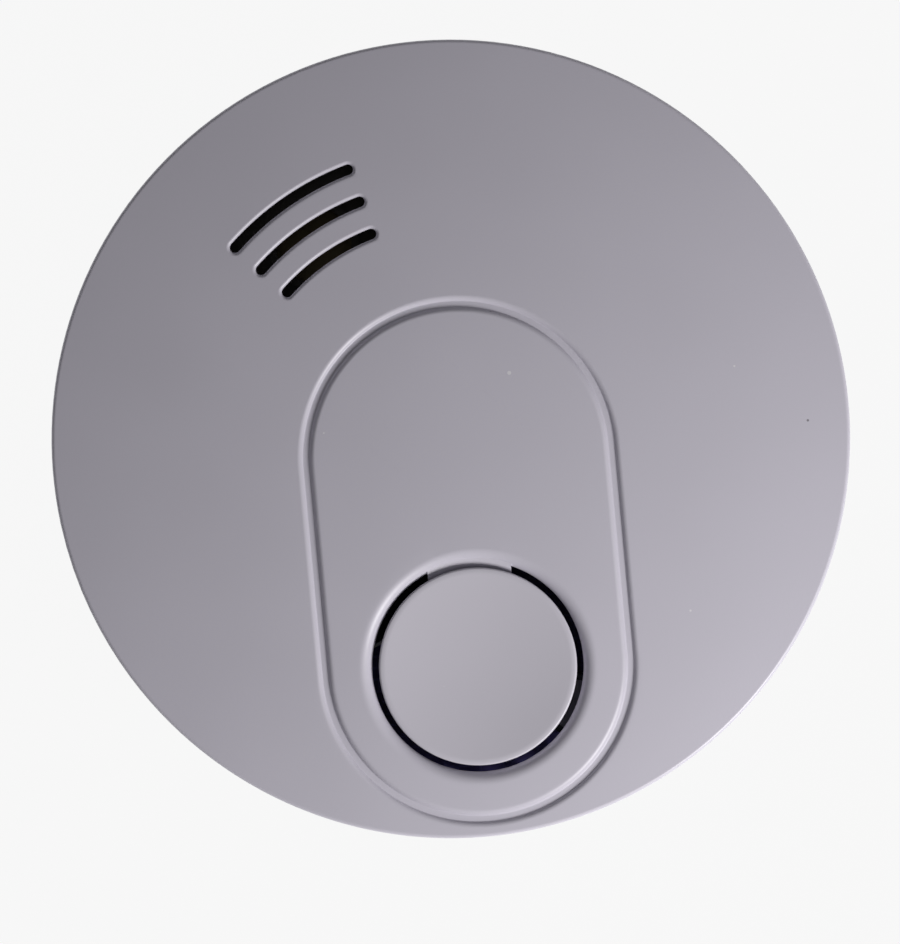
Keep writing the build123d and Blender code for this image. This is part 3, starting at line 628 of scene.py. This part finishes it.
def finish_shape(
    shape: bmesh.types.BMesh, name: str, sharp_angle: float = SHARP_ANGLE
) -> bpy.types.Object:
    """Make a smooth-shaded object from a bmesh.

    Args:
        shape: the bmesh, freed afterwards.
        name: the object's name.
        sharp_angle: edges that turn more than this stay sharp.

    Returns:
        The new object.
    """
    for face in shape.faces:
        face.smooth = True
    mesh = bpy.data.meshes.new(name)
    shape.to_mesh(mesh)
    shape.free()
    # Corner normals stored in a CAD mesh no longer fit it once its corners are welded.
    carried = mesh.attributes.get("custom_normal")
    if carried:
        mesh.attributes.remove(carried)
    mesh.set_sharp_from_angle(angle=math.radians(sharp_angle))
    piece = bpy.data.objects.new(name, mesh)
    bpy.context.scene.collection.objects.link(piece)
    return piece


def fill_outline(shape: bmesh.types.BMesh, corners: list[Vector]) -> bmesh.types.BMFace:
    """Draw a closed outline corner by corner and fill it.

    Args:
        shape: the bmesh to draw in.
        corners: the outline's corners, in order.

    Returns:
        The new face.
    """
    first = bmesh.ops.create_vert(shape, co=corners[0])["vert"][0]
    last, edges = first, []
    for corner in corners[1:]:
        grown = bmesh.ops.extrude_vert_indiv(shape, verts=[last])
        last = grown["verts"][0]
        last.co = corner
        edges += grown["edges"]
    edges += bmesh.ops.contextual_create(shape, geom=[last, first])["edges"]
    return bmesh.ops.contextual_create(shape, geom=edges)["faces"][0]


def weigh_normals(piece: bpy.types.Object) -> None:
    """Let large faces lead the shading, so that flats stay flat beside small rounds."""
    weighted = piece.modifiers.new("weighted_normals", "WEIGHTED_NORMAL")
    weighted.keep_sharp = True
    weighted.weight = 100


def cut_away(piece: bpy.types.Object, cutters: list[bpy.types.Object]) -> None:
    """Cut closed shapes out of a closed piece and drop the cutters.

    Args:
        piece: the piece that is cut.
        cutters: the shapes, removed afterwards.
    """
    for cutter in cutters:
        step = piece.modifiers.new("cut", "BOOLEAN")
        step.operation = "DIFFERENCE"
        step.solver = "EXACT"
        step.object = cutter
    bpy.context.view_layer.update()
    evaluated = piece.evaluated_get(bpy.context.evaluated_depsgraph_get())
    cut = bpy.data.meshes.new_from_object(evaluated)
    piece.modifiers.clear()
    piece.data = cut
    for cutter in cutters:
        bpy.data.objects.remove(cutter)


def rounded(radius: float, turn: float, steps: int) -> list[tuple[float, float]]:
    """Run and drop along an arc that starts level.

    Args:
        radius: the arc's radius.
        turn: how far the arc turns down, in degrees.
        steps: number of spans.

    Returns:
        Run and drop of each point after the first.
    """
    angles = [math.radians(turn) * step / steps for step in range(1, steps + 1)]
    return [(radius * math.sin(angle), radius * (1.0 - math.cos(angle))) for angle in angles]


@dataclass(frozen=True)
class Dome:
    """The sphere that the cover's face follows."""

    top: float
    radius: float
    rise: float = 3.0 * MM

    @property
    def curve(self) -> float:
        """Radius of the sphere."""
        return (self.radius**2 + self.rise**2) / (2.0 * self.rise)

    def height(self, x: float, y: float, inset: float = 0.0) -> float:
        """Height of the face, or of a surface at an even inset below it.

        Args:
            x: place across.
            y: place along.
            inset: depth below the face.

        Returns:
            The height above the mounting plane.
        """
        return self.top - self.curve + math.sqrt((self.curve - inset) ** 2 - x * x - y * y)


@dataclass(frozen=True)
class Racetrack:
    """Closed outline of two half circles joined by straights, with even stations round it."""

    centre: Vector
    spacing: float
    radius: float
    arc_steps: int = 96
    side_steps: int = 24

    @property
    def count(self) -> int:
        """Stations round the outline."""
        return 2 * (self.arc_steps + self.side_steps)

    def station(self, index: int, radius: float) -> Vector:
        """Point of a concentric outline at one station.

        Args:
            index: station number, from the right end of the lower half circle's top.
            radius: half width of that outline.

        Returns:
            The point in plan.
        """
        half = self.arc_steps + self.side_steps
        step = index % half
        lower = index < half
        if step <= self.arc_steps:
            angle = math.pi * step / self.arc_steps + (math.pi if lower else 0.0)
            along = 0.0 if lower else self.spacing
        else:
            share = (step - self.arc_steps) / self.side_steps
            angle = 0.0 if lower else math.pi
            along = self.spacing * (share if lower else 1.0 - share)
        x, y = radius * math.cos(angle), along + radius * math.sin(angle)
        return self.centre + Vector((x, y, 0.0))


@dataclass
class CoverShell:
    """Domed front cover with its channel, sounder slots and button hole."""

    dome: Dome
    skirt_bottom: float
    button_centre: Vector
    face_wall: float = 2.2 * MM
    side_wall: float = 2.0 * MM
    rim_round: float = 0.55 * MM
    hole_radius: float = 13.88 * MM
    hole_lip: float = 1.70 * MM
    channel_radius: float = 20.05 * MM
    channel_spacing: float = 27.65 * MM
    channel_lip: float = 0.80 * MM
    channel_slope: float = 62.0
    channel_floor_round: float = 0.20 * MM
    channel_floor: float = 0.60 * MM
    slot_radii: tuple[float, ...] = (37.85 * MM, 33.35 * MM, 28.85 * MM)
    slot_width: float = 1.4 * MM
    slot_lip: float = 0.5 * MM
    slot_direction: float = 119.5
    slot_half_extent: float = 14.8
    hook_directions: tuple[float, ...] = (75.0, 165.0, 235.0, 315.0)
    track: Racetrack = field(init=False)

    def __post_init__(self) -> None:
        """Lay out the channel's outline."""
        self.track = Racetrack(self.button_centre, self.channel_spacing, self.channel_radius)

    def on_face(self, point: Vector, inset: float = 0.0) -> Vector:
        """Drop a plan point onto the face, or to an inset below it."""
        return Vector((point.x, point.y, self.dome.height(point.x, point.y) - inset))

    def round_hole(self, index: int, radius: float) -> Vector:
        """Point on a circle round the button, on the ray to that station of the channel."""
        ray = self.track.station(index, self.channel_radius) - self.button_centre
        return self.button_centre + ray.normalized() * radius

    def round_rim(self, index: int, radius: float) -> Vector:
        """Point on a circle round the cover, on the ray to that station of the channel."""
        return self.track.station(index, self.channel_radius).normalized() * radius

    def channel_section(self) -> list[tuple[float, float]]:
        """Distance from the channel's middle and depth, from its inner edge to the floor.

        Returns:
            Points of half the section, from the face down to the floor.
        """
        lip = rounded(self.channel_lip, self.channel_slope, 7)
        foot = rounded(self.channel_floor_round, self.channel_slope, 5)
        run = lip[-1][0] + foot[-1][0] + self.channel_floor / 2
        depth = lip[-1][1] + foot[-1][1]
        down = [(run, 0.0)] + [(run - along, drop) for along, drop in lip]
        half = self.channel_floor / 2
        rise = [(half + along, depth - drop) for along, drop in reversed(foot[:-1])]
        return down + rise + [(half, depth)]

    def add_hole(self, shell: RingShell) -> None:
        """Grow the hole's wall and its rounded lip."""
        seam, corner = 0.02 * MM, 0.1 * MM
        bottom = self.face_wall - seam
        start = self.hole_radius + self.hole_lip
        rows = [(self.hole_radius, inset) for inset in (bottom, bottom - corner, self.hole_lip)]
        lip = reversed([(0.0, 0.0)] + rounded(self.hole_lip, 90.0, 12)[:-1])
        rows += [(start - along, drop) for along, drop in lip]
        for radius, inset in rows:
            shell.add(lambda index, r=radius, d=inset: self.on_face(self.round_hole(index, r), d))

    def add_island(self, shell: RingShell, edge: float, steps: int = 14) -> None:
        """Grow the face between the hole and the channel."""
        start = self.hole_radius + self.hole_lip
        for step in range(1, steps + 1):
            share = step / steps

            def place(index: int, share: float = share) -> Vector:
                """Blend from the hole's circle to the channel's inner edge."""
                near = self.round_hole(index, start)
                return self.on_face(near.lerp(self.track.station(index, edge), share))

            shell.add(place)

    def add_channel(self, shell: RingShell) -> None:
        """Grow the channel: down its inner side and up its outer side."""
        half = self.channel_section()
        section = [(-away, depth) for away, depth in half[1:]] + half[::-1]
        for away, depth in section:
            reach = self.channel_radius + away
            shell.add(lambda index, r=reach, d=depth: self.on_face(self.track.station(index, r), d))

    def add_outer_face(self, shell: RingShell, edge: float, steps: int = 15) -> None:
        """Grow the face from the channel out to the rim."""
        reach = self.dome.radius - self.rim_round
        for step in range(1, steps + 1):
            share = step / steps

            def place(index: int, share: float = share) -> Vector:
                """Blend from the channel's outer edge to the rim."""
                near = self.track.station(index, edge)
                return self.on_face(near.lerp(self.round_rim(index, reach), share))

            shell.add(place)

    def add_skirt(self, shell: RingShell) -> None:
        """Grow the rim's round, the skirt and the inside back to the hole."""
        reach = self.dome.radius
        shoulder = self.dome.height(reach - self.rim_round, 0.0)
        inner = reach - self.side_wall
        rim = rounded(self.rim_round, 90.0, 8)
        edge = 0.25 * MM
        below = self.skirt_bottom
        turns = [(reach - self.rim_round + along, shoulder - drop) for along, drop in rim] + [
            (reach, below + edge * 2),
            (reach, below + edge),
            (reach - edge, below),
            (inner + edge, below),
            (inner, below + edge),
            (inner, below + edge * 2),
        ]
        for radius, z in turns:
            shell.add(lambda index, r=radius, z=z: self.round_rim(index, r) + Vector((0, 0, z)))
        steps = 12
        for step in range(steps + 1):
            share = step / steps

            def place(index: int, share: float = share) -> Vector:
                """Blend over the underside from the skirt to the hole."""
                far = self.round_rim(index, inner)
                near = self.round_hole(index, self.hole_radius)
                point = far.lerp(near, share)
                return self.on_face(point, self.face_wall)

            shell.add(place)

    def slot_cutter(self, radius: float) -> bpy.types.Object:
        """Shape of one slot with a flared mouth that leaves a rounded lip.

        Args:
            radius: the slot's centreline radius.

        Returns:
            The cutter.
        """
        along_steps, end_steps = 30, 12
        half_width = self.slot_width / 2
        half_turn = math.radians(self.slot_half_extent) - half_width / radius
        middle = math.radians(self.slot_direction)
        count = 2 * (along_steps + end_steps)

        def outline(index: int, reach: float) -> Vector:
            """Point of the slot's outline at a distance from its centreline."""
            half = along_steps + end_steps
            step = index % half
            outer = index < half
            way = 1.0 if outer else -1.0
            if step <= along_steps:
                angle = middle - way * half_turn * (1.0 - 2.0 * step / along_steps)
                return Vector((math.cos(angle), math.sin(angle), 0.0)) * (radius + way * reach)
            end = middle + way * half_turn
            turn = math.pi * (step - along_steps) / end_steps
            pivot = Vector((math.cos(end), math.sin(end), 0.0)) * radius
            across = Vector((math.cos(end), math.sin(end), 0.0)) * way
            along = Vector((-math.sin(end), math.cos(end), 0.0)) * way
            return pivot + across * (reach * math.cos(turn)) + along * (reach * math.sin(turn))

        core = half_width * 0.5
        flare = half_width + self.slot_lip
        lip = reversed(rounded(self.slot_lip, 88.0, 9)[:-1])
        rows = [(core, 3.4 * MM), (half_width, 3.2 * MM), (half_width, self.slot_lip)]
        rows += [(flare - along, drop) for along, drop in lip]
        rows += [(flare, -0.004 * MM), (flare + 0.4 * MM, -0.4 * MM), (core, -1.0 * MM)]
        cutter = RingShell("slot_cutter", count)
        for reach, inset in rows:
            cutter.add(lambda index, r=reach, d=inset: self.on_face(outline(index, r), d))
        for ring in (cutter.first, cutter.ring):
            bmesh.ops.contextual_create(cutter.shape, geom=cutter.edges_of(ring))
        return cutter.finish()

    def build_hooks(self) -> bpy.types.Object:
        """Build the four snap hooks that reach down into the housing.

        Returns:
            One object with the four hooks.
        """
        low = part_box("front_cover")[0][2]
        outer, thick, barb = 47.7 * MM, 1.5 * MM, 1.3 * MM
        top = self.dome.height(outer, 0.0) - self.face_wall + 0.6 * MM
        section = (
            (outer - thick, top),
            (outer - thick, low + 0.3 * MM),
            (outer - thick + 0.3 * MM, low),
            (outer + 0.4 * MM, low),
            (outer + barb, low + 1.0 * MM),
            (outer + barb, low + 1.8 * MM),
            (outer, low + 1.8 * MM),
            (outer, top),
        )
        turn = 8.0 * MM / outer
        shape = bmesh.new()
        for direction in self.hook_directions:
            start = math.radians(direction) - turn / 2
            way = Vector((math.cos(start), math.sin(start), 0.0))
            face = fill_outline(shape, [way * radius + Vector((0, 0, z)) for radius, z in section])
            bmesh.ops.spin(shape, geom=[face], cent=(0, 0, 0), axis=(0, 0, 1), angle=turn, steps=6)
        bmesh.ops.recalc_face_normals(shape, faces=shape.faces)
        return finish_shape(shape, "cover_hooks")

    def build(self, dresser: Dresser) -> bpy.types.Object:
        """Grow the whole cover, cut its slots and dress it.

        Args:
            dresser: gives the finish.

        Returns:
            The finished piece.
        """
        section = self.channel_section()
        half_width = section[0][0]
        shell = RingShell("front_cover_shell", self.track.count)
        self.add_hole(shell)
        self.add_island(shell, self.channel_radius - half_width)
        self.add_channel(shell)
        self.add_outer_face(shell, self.channel_radius + half_width)
        self.add_skirt(shell)
        shell.join_ends()
        piece = shell.finish()
        cut_away(piece, [self.slot_cutter(radius) for radius in self.slot_radii])
        hooks = self.build_hooks()
        joined = bmesh.new()
        joined.from_mesh(piece.data)
        joined.from_mesh(hooks.data)
        joined.to_mesh(piece.data)
        joined.free()
        bpy.data.objects.remove(hooks)
        piece.data.set_sharp_from_angle(angle=math.radians(SHARP_ANGLE))
        weigh_normals(piece)
        dresser.dress(piece, "cover_plastic")
        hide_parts("front_cover")
        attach(piece, Body.ALARM.value)
        LOG.info("built %s", piece.name)
        return piece


@dataclass
class ButtonShell:
    """Dished test button with its stem."""

    dome: Dome
    centre: Vector
    radius: float = 13.0 * MM
    ease_radius: float = 2.4 * MM
    ease_turn: float = 15.0
    edge_round: float = 0.35 * MM
    dish_depth: float = 1.1 * MM
    wall: float = 2.2 * MM
    stem_radius: float = 2.0 * MM
    count: int = 160

    def surface(self, point: Vector) -> float:
        """Height of the dished face at a plan point."""
        away = (point - self.centre).length
        tilt_height = self.dome.height(point.x, point.y)
        return tilt_height - self.dish_depth * (1.0 - (away / self.radius) ** 2)

    def circle(self, index: int, radius: float) -> Vector:
        """Plan point on a circle round the button's centre."""
        angle = math.tau * index / self.count
        return self.centre + Vector((radius * math.cos(angle), radius * math.sin(angle), 0.0))

    def edge_section(self) -> list[tuple[float, float]]:
        """Run and drop of the face's edge: a gentle arc that ends in a small round.

        Returns:
            The section's points, from the face outwards.
        """
        ease = rounded(self.ease_radius, self.ease_turn, 5)
        start = math.sin(math.radians(self.ease_turn)) * self.edge_round
        fall = (1.0 - math.cos(math.radians(self.ease_turn))) * self.edge_round
        last_run, last_drop = ease[-1]
        steps = 8
        section = list(ease)
        for step in range(1, steps + 1):
            angle = math.radians(self.ease_turn + (90.0 - self.ease_turn) * step / steps)
            run = self.edge_round * math.sin(angle) - start
            drop = self.edge_round * (1.0 - math.cos(angle)) - fall
            section.append((last_run + run, last_drop + drop))
        return section

    def add_level(self, shell: RingShell, radius: float, inset: float) -> None:
        """Add a ring at an even inset below the dished face."""

        def place(index: int) -> Vector:
            """Put each point below the face."""
            point = self.circle(index, radius)
            return Vector((point.x, point.y, self.surface(point) - inset))

        shell.add(place)

    def add_flat(self, shell: RingShell, radius: float, height: float) -> None:
        """Add a level ring at a height."""
        shell.add(lambda index: self.circle(index, radius) + Vector((0.0, 0.0, height)))

    def build(self, dresser: Dresser) -> bpy.types.Object:
        """Grow the button from the middle of its face to the tip of its stem.

        Args:
            dresser: gives the finish.

        Returns:
            The finished piece.
        """
        shell = RingShell("test_button_shell", self.count)
        edge = self.edge_section()
        flat = self.radius - edge[-1][0]
        for share in (0.02, 0.08, 0.2, 0.35, 0.5, 0.65, 0.8, 0.92, 1.0):
            self.add_level(shell, flat * share, 0.0)
        for along, drop in edge:
            self.add_level(shell, flat + along, drop)
        self.add_level(shell, self.radius, self.wall - 0.25 * MM)
        self.add_level(shell, self.radius - 0.2 * MM, self.wall)
        for share in (0.8, 0.55, 0.35):
            self.add_level(shell, self.radius * share, self.wall)
        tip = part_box("test_button")[0][2]
        root = self.dome.height(self.centre.x, self.centre.y) - self.dish_depth - self.wall
        self.add_level(shell, self.stem_radius + 0.8 * MM, self.wall)
        for along, drop in rounded(0.8 * MM, 90.0, 5):
            self.add_flat(shell, self.stem_radius + 0.8 * MM - along, root - drop)
        self.add_flat(shell, self.stem_radius, tip + self.stem_radius)
        for along, drop in reversed(rounded(self.stem_radius, 84.0, 6)):
            self.add_flat(shell, along, tip + drop)
        shell.close_pole()
        shell.ring = shell.first
        shell.close_pole()
        piece = shell.finish()
        weigh_normals(piece)
        dresser.dress(piece, "button_plastic")
        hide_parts("test_button")
        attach(piece, Body.BUTTON.value)
        LOG.info("built %s", piece.name)
        return piece


@dataclass
class HingeWeb:
    """Living hinge: a thin web that runs down from the cover's lip to the button."""

    dome: Dome
    centre: Vector
    width: float = 11.0 * MM
    thickness: float = 0.9 * MM
    profile: tuple[tuple[float, float], ...] = (
        (11.5 * MM, 1.75 * MM),
        (12.7 * MM, 1.60 * MM),
        (13.05 * MM, 1.45 * MM),
        (13.25 * MM, 1.18 * MM),
        (13.50 * MM, 1.00 * MM),
        (13.80 * MM, 0.86 * MM),
        (14.10 * MM, 0.74 * MM),
        (14.40 * MM, 0.62 * MM),
    )
    steps: int = 30

    def place(self, across: float, row: int, below: float) -> Vector:
        """Point of the web on an arc about the button.

        Args:
            across: place across the web, from -0.5 to 0.5.
            row: which point of the profile.
            below: depth under the web's top.

        Returns:
            The point.
        """
        radius, drop = self.profile[row]
        x = across * self.width
        y = math.sqrt(radius**2 - x**2)
        point = self.centre + Vector((x, y, 0.0))
        return Vector((point.x, point.y, self.dome.height(point.x, point.y) - drop - below))

    def build(self, dresser: Dresser) -> bpy.types.Object:
        """Build the web between button and cover.

        Args:
            dresser: gives the finish.

        Returns:
            The finished piece.
        """
        rows = len(self.profile)
        shape = bmesh.new()
        bmesh.ops.create_grid(shape, x_segments=self.steps, y_segments=rows - 1, size=0.5)
        for vertex in shape.verts:
            row = round((vertex.co.y + 0.5) * (rows - 1))
            vertex.co = self.place(vertex.co.x, row, 0.0)
        bmesh.ops.recalc_face_normals(shape, faces=shape.faces)
        grown = bmesh.ops.extrude_face_region(shape, geom=list(shape.faces))["geom"]
        lower = [item for item in grown if isinstance(item, bmesh.types.BMVert)]
        bmesh.ops.translate(shape, vec=Vector((0.0, 0.0, -self.thickness)), verts=lower)
        bmesh.ops.recalc_face_normals(shape, faces=shape.faces)
        piece = finish_shape(shape, "hinge_web", 40.0)
        weigh_normals(piece)
        dresser.dress(piece, "button_plastic")
        bend_end = self.centre + Vector((0.0, self.profile[-1][0], 0.0))
        height = self.dome.height(bend_end.x, bend_end.y) - self.profile[2][1]
        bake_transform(piece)
        LOG.info("built %s", piece.name)
        return piece


@dataclass
class SmoothShell:
    """A moulded shell taken from its CAD solid, welded and smoothed."""

    node: str
    body: Body
    slot: str
    sharp_angle: float = SHARP_ANGLE

    def build(self, dresser: Dresser) -> bpy.types.Object:
        """Weld, smooth and dress the shell.

        Args:
            dresser: gives the finish.

        Returns:
            The new piece.
        """
        shape = bmesh.new()
        shape.from_mesh(frame["nodes"][self.node].data)
        bmesh.ops.remove_doubles(shape, verts=shape.verts, dist=0.000002)
        bmesh.ops.recalc_face_normals(shape, faces=shape.faces)
        piece = finish_shape(shape, f"{self.node}_shell", self.sharp_angle)
        dresser.dress(piece, self.slot)
        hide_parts(self.node)
        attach(piece, self.body.value)
        LOG.info("built %s", piece.name)
        return piece


# Studio


@dataclass
class Studio:
    """Pale floor, soft light and the straight-down camera."""

    rim_radius: float
    rim_height: float
    camera_reach: float = 1.0
    frame_width: float = 0.11831
    roll_degrees: float = 5.2
    shift_up: float = -0.0368
    shift_right: float = -0.0009
    key_elevation: float = 31.0
    key_direction: float = -48.0
    key_distance: float = 0.42
    key_size: float = 0.16
    key_power: float = 1.66
    ambient: float = 0.125
    floor_tone: float = 0.01
    floor_glow: float = 0.925

    def build_floor(self) -> None:
        """Lay the floor and give it an even pale tone."""
        shape = bmesh.new()
        bmesh.ops.create_grid(shape, x_segments=2, y_segments=2, size=1.5)
        mesh = bpy.data.meshes.new("floor")
        shape.to_mesh(mesh)
        shape.free()
        floor = bpy.data.objects.new("floor", mesh)
        bpy.context.scene.collection.objects.link(floor)
        material = bpy.data.materials.new("floor_paper")
        material.use_nodes = True
        shader = material.node_tree.nodes["Principled BSDF"]
        shader.inputs["Base Color"].default_value = (*[self.floor_tone] * 3, 1.0)
        shader.inputs["Roughness"].default_value = 0.9
        shader.inputs["Specular IOR Level"].default_value = 0.0
        shader.inputs["Emission Color"].default_value = (1.0, 1.0, 1.0, 1.0)
        shader.inputs["Emission Strength"].default_value = self.floor_glow
        mesh.materials.append(material)

    def build_light(self) -> None:
        """Set the soft key low on one side, and an even fill."""
        data = bpy.data.lights.new("key", "AREA")
        data.shape = "DISK"
        data.size = self.key_size
        data.energy = self.key_power
        data.color = (1.0, 0.985, 0.985)
        key = bpy.data.objects.new("key", data)
        rise = math.radians(self.key_elevation)
        turn = math.radians(self.key_direction)
        flat = math.cos(rise) * self.key_distance
        high = math.sin(rise) * self.key_distance
        away = Vector((flat * math.cos(turn), flat * math.sin(turn), high))
        key.location = Vector((0.0, 0.0, self.rim_height)) + away
        key.rotation_euler = away.to_track_quat("Z", "Y").to_euler()
        bpy.context.scene.collection.objects.link(key)
        world = bpy.data.worlds.new("studio")
        world.use_nodes = True
        background = world.node_tree.nodes["Background"]
        background.inputs["Color"].default_value = (0.97, 0.97, 1.0, 1.0)
        background.inputs["Strength"].default_value = self.ambient
        bpy.context.scene.world = world

    def build_camera(self) -> None:
        """Hang the camera straight above, turned a little about its own axis."""
        data = bpy.data.cameras.new("camera")
        data.sensor_fit = "HORIZONTAL"
        data.sensor_width = 36.0
        data.lens = 36.0 * self.camera_reach / self.frame_width
        data.shift_y = self.shift_up
        data.shift_x = self.shift_right
        data.clip_start = 0.01
        camera = bpy.data.objects.new("camera", data)
        camera.location = (0.0, 0.0, self.rim_height + self.camera_reach)
        camera.rotation_euler = (0.0, 0.0, -math.radians(self.roll_degrees))
        bpy.context.scene.collection.objects.link(camera)
        bpy.context.scene.camera = camera

    def build(self) -> None:
        """Set up the whole studio."""
        self.build_floor()
        self.build_light()
        self.build_camera()
        bpy.context.scene.view_settings.view_transform = "Standard"


def main() -> None:
    """Build the alarm's looks in order."""
    logging.basicConfig(level=logging.INFO, format="%(name)s: %(message)s")
    high = CAD_BOX[1]
    Studio(rim_radius=high[0], rim_height=high[2] - RIM_DROP).build()
    dresser = Dresser.with_finishes(FINISHES)
    shells = (
        SmoothShell("vent_ring", Body.ALARM, "vent_plastic"),
        SmoothShell("rear_housing", Body.ALARM, "housing_plastic"),
        SmoothShell("mounting_bracket", Body.BRACKET, "bracket_plastic"),
    )
    dome = Dome(top=high[2], radius=high[0])
    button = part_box("test_button")
    centre = Vector(((button[0][0] + button[1][0]) / 2, button[0][1] + ButtonShell.radius, 0.0))
    CoverShell(dome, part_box("vent_ring")[1][2], centre).build(dresser)
    ButtonShell(dome, centre).build(dresser)
    HingeWeb(dome, centre).build(dresser)
    done = {"front_cover", "test_button"}
    for shell in shells:
        shell.build(dresser)
        done.add(shell.node)
    dresser.dress_nodes(frame["record"], done)


if __name__ == "__main__":
    main()
